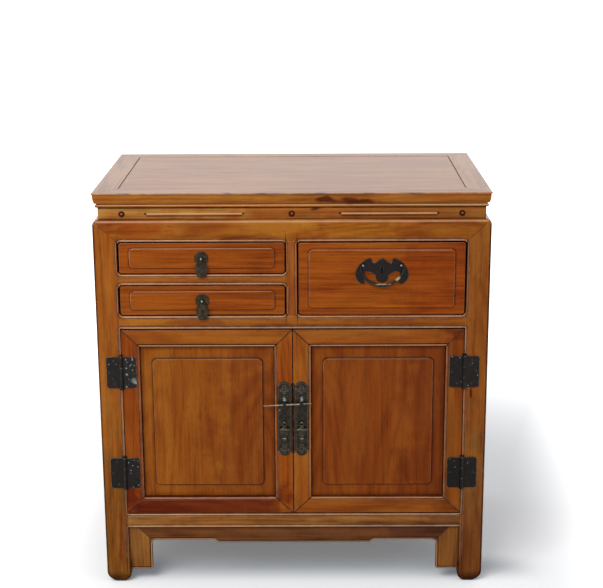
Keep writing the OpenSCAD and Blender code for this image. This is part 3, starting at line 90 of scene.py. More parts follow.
# %% Node helper
class Net:
    """Adds nodes to one tree; each value is a number, a tuple or a socket of another node."""

    def __init__(self, tree):
        self.tree = tree

    def fill(self, sockets, values):
        for key, value in values.items():
            if isinstance(value, bpy.types.NodeSocket):
                self.tree.links.new(value, sockets[key])
            else:
                sockets[key].default_value = value

    def put(self, kind, inputs=None, out=0, **settings):
        node = self.tree.nodes.new(kind)
        for key, value in settings.items():
            setattr(node, key, value)
        self.fill(node.inputs, inputs or {})
        return node.outputs[out]

    def use(self, tree, inputs, out):
        """Places one of the node groups below."""
        return self.put("ShaderNodeGroup", inputs, out, node_tree=tree)

    def math(self, operation, *values, clamp=False):
        return self.put("ShaderNodeMath", dict(enumerate(values)), operation=operation, use_clamp=clamp)

    def vector(self, operation, *values, out=0):
        return self.put("ShaderNodeVectorMath", dict(enumerate(values)), out, operation=operation)

    def split(self, vector):
        return self.put("ShaderNodeSeparateXYZ", {0: vector}).node.outputs

    def join(self, x=0.0, y=0.0, z=0.0):
        return self.put("ShaderNodeCombineXYZ", {"X": x, "Y": y, "Z": z})

    def plus(self, a, b):
        return self.math("ADD", a, b)

    def minus(self, a, b):
        return self.math("SUBTRACT", a, b)

    def times(self, a, b):
        return self.math("MULTIPLY", a, b)

    def higher(self, a, b):
        """The higher of two values at each place; the first may still be missing."""
        return b if a is None else self.math("MAXIMUM", a, b)

    def mix(self, share, a, b, blend="MIX"):
        """Mixes two colours."""
        return self.put("ShaderNodeMix", {"Factor": share, 6: a, 7: b}, 2, data_type="RGBA", blend_type=blend)

    def noise(self, vector, scale, detail=2.0, roughness=0.5, distortion=0.0):
        """Noise with its own scale along each axis."""
        inputs = {"Vector": self.vector("MULTIPLY", vector, scale), "Scale": 1.0, "Detail": detail,
                  "Roughness": roughness, "Distortion": distortion}
        return self.put("ShaderNodeTexNoise", inputs, noise_dimensions="3D")

    def ramp(self, value, low, high, to_low=0.0, to_high=1.0):
        """Smooth change from to_low to to_high as value goes from low to high."""
        inputs = {"Value": value, "From Min": low, "From Max": high, "To Min": to_low, "To Max": to_high}
        return self.put("ShaderNodeMapRange", inputs, interpolation_type="SMOOTHSTEP")


def group(name, inputs, outputs, tree_kind="ShaderNodeTree"):
    """A new node group; inputs and outputs are (kind, name, default) rows."""
    tree = bpy.data.node_groups.new(name, tree_kind)
    for direction, rows in (("INPUT", inputs), ("OUTPUT", outputs)):
        for socket_kind, label, default in rows:
            kind = "NodeSocket" + socket_kind
            socket = tree.interface.new_socket(label, in_out=direction, socket_type=kind)
            if default is not None:
                socket.default_value = default
    start = tree.nodes.new("NodeGroupInput")
    end = tree.nodes.new("NodeGroupOutput")
    return Net(tree), start.outputs, end.inputs, tree


def srgb(*parts):
    """A colour as it looks on a screen, as the linear colour of a shader; a stain's parts may pass 255."""
    line = [c / 255 / 12.92 if c <= 10 else ((c / 255 + 0.055) / 1.055) ** 2.4 for c in parts]
    return (*line, 1.0)


print("node helper is ready; mid brown is", [round(c, 3) for c in srgb(150, 84, 32)])

# %% [markdown]
# ## Grain
#
# Straight-grained hardwood has long streaks a few millimetres wide, finer fibres inside them, short dark
# pores, and on flat-sawn faces arches where the year rings come to the surface. Stretched noise gives the
# streaks, and the contour lines of a very long noise give the arches. The group expects the grain to run
# along Z.

# %% Grain group
net, given, gives, GRAIN = group(
    "hardwood_grain",
    [("Vector", "Vector", None), ("Float", "Ring Depth", 0.3), ("Float", "Streak Depth", 1.0),
     ("Float", "Fibre Depth", 0.6)],
    [("Float", "Tone", None), ("Float", "Pores", None), ("Float", "Flame", None), ("Float", "Height", None)],
)
FIELDS = {
    # scale along each axis, detail, roughness, distortion
    "streaks": ((95, 95, 2.4), 3.0, 0.62, 0.2),
    "fibres": ((300, 300, 7), 3.0, 0.65),
    "hairs": ((1300, 1300, 26), 1.0, 0.5),
    "contour": ((8, 8, 1.3), 2.0, 0.35, 0.2),
    "pores": ((1500, 1500, 70), 1.0, 0.5),
    "flame": ((22, 22, 4.5), 3.0, 0.6, 0.3),
}
RING_COUNT, HAIR_DEPTH = 17.0, 0.3
field = {name: net.noise(given["Vector"], *values) for name, values in FIELDS.items()}
rings = net.math("PINGPONG", net.times(field["contour"], RING_COUNT), 0.5)
tone = 0.5
for part, middle, depth in ((field["streaks"], 0.5, given["Streak Depth"]),
                            (net.ramp(rings, 0.0, 0.4), 0.6, given["Ring Depth"]),
                            (field["fibres"], 0.5, given["Fibre Depth"]),
                            (field["hairs"], 0.5, HAIR_DEPTH)):
    tone = net.math("MULTIPLY_ADD", net.minus(part, middle), depth, tone)
pores = net.ramp(field["pores"], 0.6, 0.72)
height = net.minus(net.times(field["hairs"], 0.6), pores)
tone = net.math("ADD", tone, 0.0, clamp=True)
flame = net.ramp(field["flame"], 0.42, 0.66)
net.fill(gives, {"Tone": tone, "Pores": pores, "Flame": flame, "Height": height})
print("grain group:", len(GRAIN.nodes), "nodes")

# %% [markdown]
# ## Distance from an opening and from a seam
#
# Old dirt and polish sit in the fine groove beside each opening, round each raised field, and in each seam;
# painted shade darkens the gaps and recesses there, and painted highlights lighten some edges. An opening is
# a rectangle with round corners, and a seam is a straight line between two points. One group gives the
# distance from each, so a material can darken or lighten any line beside it. Both work on two coordinates, X
# and Z.

# %% Distance groups
BAY_SIDES = ("Left", "Right", "Low", "High")
net, given, gives, OPENING = group(
    "distance_from_opening",
    [("Vector", "Vector", None)] + [("Float", label, 0.0) for label in (*BAY_SIDES, "Corner")],
    [("Float", "Distance", None)],
)
past = []
for axis, low, high in (("X", "Left", "Right"), ("Z", "Low", "High")):
    middle = net.times(net.plus(given[low], given[high]), 0.5)
    half = net.times(net.minus(given[high], given[low]), 0.5)
    off = net.math("ABSOLUTE", net.minus(net.split(given["Vector"])[axis], middle))
    past.append(net.plus(net.minus(off, half), given["Corner"]))
outside = net.join(x=net.higher(past[0], 0.0), z=net.higher(past[1], 0.0))
inside = net.math("MINIMUM", net.higher(*past), 0.0)
edge = net.plus(net.vector("LENGTH", outside, out="Value"), inside)
net.fill(gives, {"Distance": net.minus(edge, given["Corner"])})

net, given, gives, SEAM = group(
    "distance_from_seam",
    [("Vector", "Vector", None), ("Vector", "Start", None), ("Vector", "End", None)],
    [("Float", "Distance", None)],
)
reach = net.vector("SUBTRACT", given["Vector"], given["Start"])
span = net.vector("SUBTRACT", given["End"], given["Start"])
share = net.math("DIVIDE", net.vector("DOT_PRODUCT", reach, span, out="Value"),
                 net.vector("DOT_PRODUCT", span, span, out="Value"), clamp=True)
foot = net.put("ShaderNodeVectorMath", {0: span, "Scale": share}, operation="SCALE")
net.fill(gives, {"Distance": net.vector("LENGTH", net.vector("SUBTRACT", reach, foot), out="Value")})
print("distance groups:", len(OPENING.nodes), "and", len(SEAM.nodes), "nodes")

# %% [markdown]
# ## Stains
#
# Some boards have a darker knot, a golden strip of sapwood, or a rubbed place, and on the fittings the same
# spots give painted highlights and painted shade. A stain is a soft spot with an uneven edge, and the group
# gives its mask from a centre and the reach along each axis.

# %% Stain group
net, given, gives, STAIN = group(
    "stain",
    [("Vector", "Vector", None), ("Vector", "Centre", None), ("Vector", "Reach", None),
     ("Float", "Strength", 1.0), ("Float", "Fineness", 28.0)],
    [("Float", "Mask", None)],
)
UNEVEN = (2.2, 2.2, 2.2)
wander = net.put("ShaderNodeTexNoise", {"Vector": given["Vector"], "Scale": given["Fineness"], "Detail": 3.0},
                 out="Color")
wander = net.vector("SUBTRACT", wander, (0.5, 0.5, 0.5))
scaled = net.vector("DIVIDE", net.vector("SUBTRACT", given["Vector"], given["Centre"]), given["Reach"])
away = net.vector("LENGTH", net.vector("MULTIPLY_ADD", wander, UNEVEN, scaled), out="Value")
net.fill(gives, {"Mask": net.times(net.ramp(away, 0.5, 1.15, 1.0, 0.0), given["Strength"])})


def patch(x, z, reach_x, reach_z, shade, strength=1.0, y=-0.23, reach_y=0.1):
    """A stain: its centre, its reach along each axis, its shade and its strength."""
    return (x, y, z), (reach_x, reach_y, reach_z), shade, strength


print("stain group:", len(STAIN.nodes), "nodes")

# %% [markdown]
# ## Lines of dirt, painted shade and painted highlights
#
# A line follows a rectangle or some points of a face. It has strokes, and a stroke is four numbers: its
# offset, its half width and its fade in millimetres, and its strength. The mask is the strongest stroke at
# each place. Each line is joined to the others as soon as it is made, because a material can hold only so
# many unfinished values.

# %% Lines
# a line on the front stays near it, and one that goes through a board reaches its back
PLANES = {"front": ("X", "Z"), "through": ("X", "Z"), "side": ("Y", "Z"), "top": ("X", "Y")}
SKIN_DEPTH, SKIN_FADE = 12 * MM, 1.4 * MM


def on_plane(net, place, plane):
    """The two coordinates of a face, put into X and Z; on the skin, Y is the depth behind the front."""
    if plane == "skin":
        return net.vector("SUBTRACT", place, (0.0, FRONT_Y, 0.0))
    apart = net.split(place)
    across, up = PLANES[plane]
    return net.join(x=apart[across], z=apart[up])


def bay_line(bay, *strokes, corner=0.0, plane="front"):
    """A line along a rectangle with round corners."""
    return [(plane, OPENING, {**dict(zip(BAY_SIDES, bay)), "Corner": corner}, strokes)]


def line(points, *strokes, plane="front", sides=(1,)):
    """A line through points of a face, on one side of the cabinet or on both."""
    return [(plane, SEAM, {"Start": (side * a[0], 0.0, a[1]), "End": (side * b[0], 0.0, b[1])}, strokes)
            for side in sides for a, b in zip(points, points[1:])]


def level(left, right, z, *strokes):
    """A level line on the front."""
    return line([(left, z), (right, z)], *strokes)


def line_mask(net, place, lines):
    """Joins lines; those on the front fade out behind it, so the inner faces of doors are free of them."""
    depth = net.split(place)["Y"]
    near = net.ramp(depth, FRONT_Y + SKIN_DEPTH, FRONT_Y + SKIN_DEPTH + SKIN_FADE, 1.0, 0.0)
    flat = {plane: on_plane(net, place, plane) for plane in sorted({row[0] for row in lines})}
    mask = None
    for plane, tree, values, strokes in lines:
        distance = net.use(tree, {"Vector": flat[plane], **values}, "Distance")
        line_shade = None
        for offset, half_width, fade, strength in strokes:
            off = net.math("ABSOLUTE", net.minus(distance, offset * MM))
            stroke = net.ramp(off, half_width * MM, (half_width + fade) * MM, strength, 0.0)
            line_shade = net.higher(line_shade, stroke)
        if plane == "front":
            line_shade = net.times(line_shade, near)
        mask = net.higher(mask, line_shade)
    broken = net.ramp(net.noise(place, (60, 60, 60), 3.0, 0.6), 0.3, 0.6, 0.75, 1.0)
    return net.times(mask, broken)


print("lines can follow", ", ".join(PLANES))

# %% [markdown]
# ## Wood
#
# Every board gets its own material from one recipe: where its grain runs, where its piece of grain is cut
# from, its tones, its stains, the lines of dirt and painted shade that cross it, and lines of painted
# highlight.
# Edges are painted a little lighter, partly as wear and partly as a painted highlight. A coat of oil and wax
# lies over the wood. It shines most at a low angle, so the top shows a broad pale sheen, and on the worn
# edges.

# %% Wood recipe
TURNS = {"x": (0.0, math.radians(-90), 0.0), "y": (math.radians(90), 0.0, 0.0), "z": (0.0, 0.0, 0.0)}
# dark brown of pores, of dirt in joints, and of painted shade in gaps, grooves and recesses
GRIME_AND_SHADE = srgb(44, 15, 7)
# pale colour of worn edges, also painting highlights on edges and along lines
WEAR_AND_HIGHLIGHT_TONE = srgb(226, 180, 142)
LOW_ANGLE, GRAZING = (0.25, 0.75), (0.84, 0.96)


def new_material(name, seed):
    """A new material, its net, its shader's sockets, the place on the object and a shift of the pattern."""
    material = bpy.data.materials.new(name)
    material.use_nodes = True
    net = Net(material.node_tree)
    place = net.put("ShaderNodeTexCoord", out="Object")
    shift = tuple(float(v) for v in np.random.default_rng(seed).uniform(-3, 3, 3))
    return material, net, net.tree.nodes["Principled BSDF"].inputs, place, shift


def wood(name, grain_axis, seed, tones, rings=0.2, streaks=1.0, fibres=0.8, flame=0.5, dirt=(), rubbed=(),
         stains=(), gloss=0.36, wear=0.5, coat=1.0):
    """A material for one board; tones are its dark, light and golden colours."""
    material, net, shader, place, shift = new_material(name, seed)
    turned = net.put("ShaderNodeMapping", {"Vector": place, "Location": shift, "Rotation": TURNS[grain_axis]})
    depths = {"Ring Depth": rings, "Streak Depth": streaks, "Fibre Depth": fibres}
    tone = net.use(GRAIN, {"Vector": turned, **depths}, "Tone")
    grain = tone.node.outputs
    dark, light, golden = tones
    colour = net.mix(tone, dark, light)
    colour = net.mix(net.times(grain["Flame"], flame), colour, golden)
    for centre, reach, shade, strength in stains:
        values = {"Vector": place, "Centre": centre, "Reach": reach, "Strength": strength}
        mask = net.use(STAIN, values, "Mask")
        colour = net.mix(mask, colour, shade, "MULTIPLY")
    colour = net.mix(net.times(grain["Pores"], 0.4), colour, GRIME_AND_SHADE)
    edge = net.put("ShaderNodeAttribute", out="Fac", attribute_name="edge")
    scuffs = net.ramp(net.noise(place, (45, 45, 45), 3.0, 0.65), 0.36, 0.6, 0.35, 1.0)
    # the bevels are painted lighter: partly wear, partly a painted highlight
    colour = net.mix(net.times(net.times(edge, scuffs), wear), colour, WEAR_AND_HIGHLIGHT_TONE)
    # lines of painted highlight, such as beads and the upper edges of raised fields
    if rubbed:
        colour = net.mix(line_mask(net, place, rubbed), colour, WEAR_AND_HIGHLIGHT_TONE)
    facing = net.put("ShaderNodeLayerWeight", {"Blend": 0.5}, out="Facing")
    sheen = net.ramp(facing, *LOW_ANGLE, 0.02, coat)
    sheen = net.times(sheen, net.ramp(facing, *GRAZING, 1.0, 0.1))
    shine = net.higher(sheen, net.times(edge, coat))
    rough = net.ramp(tone, 0.0, 1.0, gloss + 0.05, gloss - 0.04)
    rough = net.plus(rough, net.ramp(facing, *GRAZING, 0.0, 0.4))
    # lines of dirt in joints and of painted shade in gaps, grooves and recesses darken the colour
    if dirt:
        mask = line_mask(net, place, dirt)
        colour = net.mix(mask, colour, GRIME_AND_SHADE)
        rough = net.math("MULTIPLY_ADD", mask, 0.3, rough)
        shine = net.times(shine, net.minus(1.0, mask))
    bump = net.put("ShaderNodeBump", {"Strength": 0.25, "Distance": 0.0002, "Height": grain["Height"]})
    net.fill(shader, {"Base Color": colour, "Roughness": rough, "Normal": bump, "Coat Weight": shine,
                      "Coat Roughness": 0.2, "Coat IOR": 1.55, "IOR": 1.12})
    return material


def shaded(tones, red, green, blue):
    """The same tones, each part scaled."""
    return tuple((r * red, g * green, b * blue, 1.0) for r, g, b, _ in tones)


HONEY = (srgb(106, 46, 10), srgb(176, 96, 28), srgb(184, 116, 40))
AMBER = (srgb(108, 40, 6), srgb(172, 86, 18), srgb(176, 98, 26))
GOLD = (srgb(106, 44, 8), srgb(166, 90, 24), srgb(172, 104, 34))
RUSSET = (srgb(92, 34, 8), srgb(152, 76, 20), srgb(160, 88, 28))
OLIVE = (srgb(88, 50, 18), srgb(156, 104, 46), srgb(168, 122, 60))
PALE = (srgb(138, 104, 66), srgb(196, 160, 112), srgb(186, 142, 92))
DARKER, BRIGHTER, DULLER = srgb(150, 120, 110), srgb(274, 290, 264), srgb(228, 212, 228)
print("wood recipe is ready")

# %% [markdown]
# ## Softened boards
#
# A real board has no knife edge: hands and polish round each corner, and that thin round catches the light.
# A copy of each board's mesh gets its loose triangles merged and its flat faces joined, and then a bevel on
# its outward edges. The beads beside the openings get a wider bevel, which makes them half-round. The
# bevel's middle is marked, so that the material can paint it lighter, as wear and as a painted highlight.


# %% Mesh helpers
def in_scene(name, data):
    """A new object in the scene."""
    made = bpy.data.objects.new(name, data)
    bpy.context.scene.collection.objects.link(made)
    return made


def applied(piece):
    """The mesh that a piece's modifiers make; the modifiers are taken off."""
    depsgraph = bpy.context.evaluated_depsgraph_get()
    mesh = bpy.data.meshes.new_from_object(piece.evaluated_get(depsgraph))
    piece.modifiers.clear()
    return mesh


def mesh_from(work, name):
    """Turns a bmesh into a mesh."""
    mesh = bpy.data.meshes.new(name)
    work.to_mesh(mesh)
    work.free()
    return mesh


def merged_copy(node):
    """A bmesh of a CAD node with its doubles merged and its flat faces joined."""
    work = bmesh.new()
    work.from_mesh(frame["nodes"][node].data)
    bmesh.ops.remove_doubles(work, verts=work.verts, dist=2e-6)
    bmesh.ops.dissolve_limit(work, angle_limit=math.radians(0.4), verts=work.verts, edges=work.edges)
    return work


def from_opening(x, z, bay, corner):
    """Distance of a point from an opening, below zero inside it."""
    dx = abs(x - (bay[0] + bay[1]) / 2) - (bay[1] - bay[0]) / 2 + corner
    dz = abs(z - (bay[2] + bay[3]) / 2) - (bay[3] - bay[2]) / 2 + corner
    return math.hypot(max(dx, 0), max(dz, 0)) + min(max(dx, dz), 0) - corner


def within(bay, across, up):
    """A smaller rectangle inside another."""
    return bay[0] + across, bay[1] - across, bay[2] + up, bay[3] - up


print("mesh helpers are ready")

# %% [markdown]
# ## Bevels
#
# Only outward edges are rounded, so the inner corners stay crisp and hold the dirt. The edges of beads are
# found by their distance from an opening, because a bead runs along every opening of the front and the
# sides.

# %% Softening helper
TOUCHING, ON_LINE, ON_MITRE = 0.1 * MM, 0.15 * MM, 0.02
SHARP, SMOOTH_BELOW = math.radians(24), math.radians(40)


def on_top_mitre(edge):
    """True for an edge of the tight mitre between a leg and the upper rail, which stays sharp."""
    for v in edge.verts:
        out = (abs(v.co.x) - CORNER_X) / (SIDE_X - CORNER_X)
        up = (v.co.z - CORNER_Z) / (FRAME_TOP - CORNER_Z)
        if abs(v.co.y - FRONT_Y) > TOUCHING or abs(out - up) > ON_MITRE:
            return False
    return True


def along_bead(points, bay, corner):
    """True for two points that both lie on one side of the bead round an opening."""
    near = [from_opening(x, z, bay, corner) for x, z in points]
    return any(max(abs(d - target) for d in near) < ON_LINE for target in (0.0, BEAD))


def on_bead(edge):
    """True for an edge of a bead: on the front beside an opening, or on a side beside its panel."""
    a, b = (v.co for v in edge.verts)
    if max(abs(a.y - FRONT_Y), abs(b.y - FRONT_Y)) < TOUCHING:
        if any(along_bead(((a.x, a.z), (b.x, b.z)), bay, corner) for bay, corner in FRONT_BEADS):
            return True
    on_side = min(abs(a.x), abs(b.x)) > SIDE_X - TOUCHING
    return on_side and along_bead(((a.y, a.z), (b.y, b.z)), SIDE_OPENING, 0.0)


def finished(piece, body, nodes=(), rubbed=0.0):
    """Applies a piece's modifiers, marks its bevels as edges, smooths it and hands it to the frame.

    Bevels have a material index of 1. Without bevels the whole surface gets the same share of edge wear,
    which the material also paints as a highlight.
    """
    mesh = applied(piece)
    piece.data = mesh
    has_bevels = len(mesh.materials) > 1
    edge = np.full(len(mesh.vertices), 1.0 if has_bevels else rubbed, np.float32)
    for polygon in mesh.polygons if has_bevels else ():
        if polygon.material_index == 0:
            edge[list(polygon.vertices)] = 0.0
    mesh.attributes.new("edge", "FLOAT", "POINT").data.foreach_set("value", edge)
    mesh.polygons.foreach_set("material_index", np.zeros(len(mesh.polygons), np.int32))
    while len(mesh.materials) > 1:
        mesh.materials.pop()
    mesh.polygons.foreach_set("use_smooth", np.ones(len(mesh.polygons), bool))
    mesh.set_sharp_from_angle(angle=SMOOTH_BELOW)
    even = piece.modifiers.new("flat faces stay flat", "WEIGHTED_NORMAL")
    even.keep_sharp = True
    even.weight = 100
    piece.data = applied(piece)
    piece.data.name = piece.name
    bpy.data.meshes.remove(mesh)
    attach(piece, body)
    if nodes:
        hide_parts(*nodes)
    return piece


def softened(name, node, material, width, bead_width, steps=3, reshape=None, cuts=()):
    """A piece made from a CAD node: cut by planes, its points moved by reshape, its edges softened."""
    work = merged_copy(node)
    for place, normal in cuts:
        parts = list(work.verts) + list(work.edges) + list(work.faces)
        bmesh.ops.bisect_plane(work, geom=parts, dist=1e-6, plane_co=place, plane_no=normal)
    for v in work.verts if reshape else ():
        v.co = reshape(v.co)
    # the way through a mesh brings the normals up to date
    mesh = mesh_from(work, name)
    work = bmesh.new()
    work.from_mesh(mesh)
    weights = work.edges.layers.float.new("bevel_weight_edge")
    widest = max(width, bead_width)
    for edge in work.edges:
        outward = edge.is_manifold and edge.is_convex and edge.calc_face_angle(0) >= SHARP
        if outward and not on_top_mitre(edge):
            edge[weights] = (bead_width if on_bead(edge) else width) / widest
    work.to_mesh(mesh)
    work.free()
    mesh.materials.append(material)
    mesh.materials.append(material)
    piece = in_scene(name, mesh)
    bevel = piece.modifiers.new("softened edges", "BEVEL")
    bevel.limit_method = "WEIGHT"
    bevel.width = widest * MM
    bevel.segments = steps
    bevel.material = 1
    bevel.use_clamp_overlap = False
    return finished(piece, node_body[node], [node])


def board(name, grain_axis, seed, tones, node=None, width=0.8, bead_width=1.4, slot="frame_wood",
          reshape=None, cuts=(), **look):
    """A softened board in its own wood; its CAD node has the same name unless node names another."""
    material = wood(name, grain_axis, seed, tones, **look)
    return softened(name + "_wood", node or name, material, width, bead_width, reshape=reshape,
                    cuts=cuts)


print("softening helper is ready")

# %% [markdown]
# ## The front frame
#
# Legs, rails and the divider share the lines of the five openings: dirt in their grooves, painted shade in
# their gaps and painted highlights along their beads. Each is a board of its own, so each takes its grain
# from another place, and the mitres at the top corners show as thin dark seams.

# %% Lines of the front frame
GROOVE = (BEAD + QUIRK / 2) / MM
# dark lines in the groove beside a bead: dirt, deepened with painted shade
IN_GROOVE = ((GROOVE, 0.5, 0.25, 0.92), (GROOVE + 1.0, 0.6, 2.5, 0.3))
HINGE_HALF = 33 * MM
OPENING_DIRT_AND_SHADE, HINGE_GAP_SHADE = [], []
# each opening: its groove, and painted shade on the walls of the gap just inside it
for bay, corner in FRONT_BEADS:
    OPENING_DIRT_AND_SHADE += bay_line(bay, *IN_GROOVE, (-2.6, 1.9, 0.5, 0.9), corner=corner)
# painted shade on the wood beside each hinge barrel, in the gap between its leaves
for z in HINGE_HEIGHTS:
    behind = [(CORNER_X, z - HINGE_HALF), (CORNER_X, z + HINGE_HALF)]
    HINGE_GAP_SHADE += line(behind, (0.0, 5.5, 1.5, 0.97), sides=BOTH)
MITRE = [(SIDE_X, FRAME_TOP), (CORNER_X, CORNER_Z)]
TOP_MITRES = line(MITRE, (0.0, 0.2, 0.7, 0.6), plane="through", sides=BOTH)
FRAME_DIRT_AND_SHADE = OPENING_DIRT_AND_SHADE + TOP_MITRES + HINGE_GAP_SHADE
JOINTS = line([(CORNER_X, RAIL_LOW), (CORNER_X, DOORWAY[2])], (0.0, 0.3, 2.2, 0.7), sides=BOTH)


def bead_painted_highlight(bay, side):
    """A painted highlight along the bead above or below an opening."""
    z = bay[2] - BEAD / 2 if side == "low" else bay[3] + BEAD / 2
    return level(bay[0] + OPENING_R, bay[1] - OPENING_R, z, (0.2, 0.4, 0.8, 0.34))


# painted highlights: a pale line along the upper rail's rounded shoulder and pale lines along the beads
SHOULDER_PAINTED_HIGHLIGHT = level(-0.393, 0.393, 0.7878, (0.0, 0.8, 1.6, 0.5))
UPPER_PAINTED_HIGHLIGHTS = SHOULDER_PAINTED_HIGHLIGHT + bead_painted_highlight(UPPER_DRAWER, "high") + bead_painted_highlight(WIDE_DRAWER, "high")
RAIL_PAINTED_HIGHLIGHTS = bead_painted_highlight(UPPER_DRAWER, "low") + bead_painted_highlight(LOWER_DRAWER, "high")
MIDDLE_PAINTED_HIGHLIGHTS = bead_painted_highlight(LOWER_DRAWER, "low") + bead_painted_highlight(WIDE_DRAWER, "low") + bead_painted_highlight(DOORWAY, "high")
LOW_PAINTED_HIGHLIGHTS = bead_painted_highlight(DOORWAY, "low") + bead_painted_highlight(UNDER_RAIL, "high")
print("front frame:", len(FRAME_DIRT_AND_SHADE), "lines of dirt")

# %% [markdown]
# ## Feet
#
# Each leg ends in a swollen foot that is rounded on all sides. Painted shade darkens its outline and its end,
# where it turns away from the light and meets the floor. Its outline on the front is a row of points for this
# painted shade to follow, and a formula narrows the end of the foot.

# %% Feet
LEG_OUTLINE = [(0.4, 0.78), (0.4, 0.026), (0.3965, 0.0137), (0.3864, 0.0044), (0.3773, 0.0), (0.3658, 0.0),
               (0.3576, 0.0044), (0.3494, 0.0137), (0.348, 0.026), (0.348, 0.0455)]
FOOT_END = [(0.388, 0.0), (0.36, 0.0)]
ROUND_H, ROUND_W, ROUND_SEEN = 26 * MM, 17 * MM, 0.35
BACK_OF_FOOT, MIDDLE_OF_FOOT, NARROWER = -0.18, 0.3715, 0.45


def foot_dirt(side):
    """Painted shade along a leg's outer edge and round its foot, and a darker painted end where it meets the
    floor.
    """
    return (line(LEG_OUTLINE, (0.0, 2.2, 3.0, 0.92), plane="skin", sides=[side])
            + line(FOOT_END, (0.0, 6.0, 24.0, 0.88), sides=[side]))


def foot_shape(co):
    """A foot's end is rounder from side to side, and at its front less of it is cut back."""
    if co.z >= ROUND_H:
        return co
    down = 1 - co.z / ROUND_H
    inset = ROUND_W * (1 - math.sqrt(1 - down ** 2))
    share = (BACK_OF_FOOT - co.y) / (BACK_OF_FOOT - FRONT_Y - inset)
    new_front = FRONT_Y + inset * ROUND_SEEN
    middle = math.copysign(MIDDLE_OF_FOOT, co.x)
    narrow = 1 - NARROWER * down ** 3
    y = BACK_OF_FOOT - share * (BACK_OF_FOOT - new_front)
    return Vector((middle + narrow * (co.x - middle), y, co.z))


print("a foot's outline has", len(LEG_OUTLINE), "points")

# %% [markdown]
# ## Boards of the front frame
#
# Each board has its own tones and stains: a red streak low on the left leg, a golden middle of the upper
# rail, and a paler, greyer rail under the doors, where less oil was rubbed in.

# %% Front frame
board("leg_front_left", "z", 11, shaded(HONEY, 0.92, 0.93, 1.0), streaks=1.9, dirt=FRAME_DIRT_AND_SHADE + foot_dirt(-1),
      stains=[patch(-0.4, 0.08, 0.5, 0.3, srgb(230, 256, 276), y=-0.2, reach_y=0.5),
              patch(-0.3655, 0.085, 0.007, 0.085, srgb(226, 164, 176), 0.7, y=FRONT_Y)], reshape=foot_shape)
board("leg_front_right", "z", 12, shaded(HONEY, 0.8, 0.84, 1.1), streaks=1.5, dirt=FRAME_DIRT_AND_SHADE + foot_dirt(1),
      stains=[patch(0.4, 0.08, 0.5, 0.34, srgb(226, 238, 290), y=-0.2, reach_y=0.5),
              patch(0.366, 0.424, 0.0035, 0.018, DARKER, y=FRONT_Y)], reshape=foot_shape)
board("upper_rail", "x", 13, shaded(HONEY, 0.86, 0.84, 0.8), "upper_rail_front", flame=0.9, streaks=1.8,
      dirt=FRAME_DIRT_AND_SHADE, rubbed=UPPER_PAINTED_HIGHLIGHTS,
      stains=[patch(-0.3, 0.77, 0.09, 0.05, srgb(236, 204, 200)),
              patch(0.12, 0.77, 0.12, 0.05, srgb(280, 310, 290)),
              patch(0.32, 0.77, 0.07, 0.05, srgb(240, 236, 240))])
board("drawer_rail", "x", 14, HONEY, dirt=OPENING_DIRT_AND_SHADE, rubbed=RAIL_PAINTED_HIGHLIGHTS)
board("divider", "z", 15, shaded(HONEY, 0.94, 0.86, 0.9), "drawer_divider", dirt=OPENING_DIRT_AND_SHADE)
board("middle_rail", "x", 16, shaded(HONEY, 0.92, 0.93, 1.1), "middle_rail_front", streaks=2.4,
      dirt=OPENING_DIRT_AND_SHADE, rubbed=MIDDLE_PAINTED_HIGHLIGHTS,
      stains=[patch(0.27, 0.58, 0.2, 0.1, srgb(238, 234, 232)), patch(-0.3, 0.58, 0.05, 0.1, BRIGHTER, 0.8),
              patch(-0.2, 0.58, 0.06, 0.1, DULLER), patch(0.2, 0.58, 0.07, 0.1, DULLER)])
board("bottom_rail", "x", 17, shaded(OLIVE, 1.32, 1.24, 1.3), "bottom_rail_front", streaks=1.9,
      dirt=OPENING_DIRT_AND_SHADE + JOINTS, rubbed=LOW_PAINTED_HIGHLIGHTS,
      stains=[patch(-0.16, 0.14, 0.1, 0.05, srgb(282, 284, 276)),
              patch(0.18, 0.14, 0.12, 0.05, srgb(238, 232, 242)),
              patch(0.33, 0.14, 0.1, 0.05, srgb(196, 184, 204))])
print("front frame: 7 pieces")

# %% [markdown]
# ## Sides and back
#
# The sides and the back aren't in the photograph. They are the same frame and panel work, in the same wood.

# %% Sides and back
# the side panels' grooves, and painted shade just inside their openings
SIDE_DIRT_AND_SHADE = bay_line(SIDE_OPENING, *IN_GROOVE, (-2.6, 2.0, 1.5, 0.6), plane="side")
board("leg_back_left", "z", 21, HONEY, dirt=SIDE_DIRT_AND_SHADE)
board("leg_back_right", "z", 22, HONEY, dirt=SIDE_DIRT_AND_SHADE)
board("side_upper_rails", "y", 23, HONEY, "upper_rails_side", dirt=SIDE_DIRT_AND_SHADE)
board("side_lower_rails", "y", 24, OLIVE, "bottom_rails_side", dirt=SIDE_DIRT_AND_SHADE)
board("back_rails", "x", 25, HONEY)
board("side_panels", "z", 26, RUSSET, slot="panel_wood", rings=0.35, dirt=SIDE_DIRT_AND_SHADE)
board("back_panels", "z", 27, PALE, slot="inner_wood", gloss=0.6, coat=0.0)
print("sides and back: 7 pieces")

# %% [markdown]
# ## Top
#
# The top is a mitred frame with a panel let into it. Its moulded edge has a fillet, a long rounded band and
# a bead. Its boards are paler, partly weathered and partly a painted sheen; its bead has a painted highlight
# on its crest, and the grooves beside it dirt and painted shade.

# %% Top
TOP_PANEL = (-CORNER_X, CORNER_X, -0.178, 0.207)
TOP_MITRE = [(SIDE_X, FRONT_Y), (CORNER_X, TOP_PANEL[2])]
TOP_DIRT = line(TOP_MITRE, (0.0, 0.15, 0.5, 0.35), plane="top", sides=BOTH)
TOP_DIRT += bay_line(TOP_PANEL, (0.0, 0.6, 0.9, 0.65), plane="top")
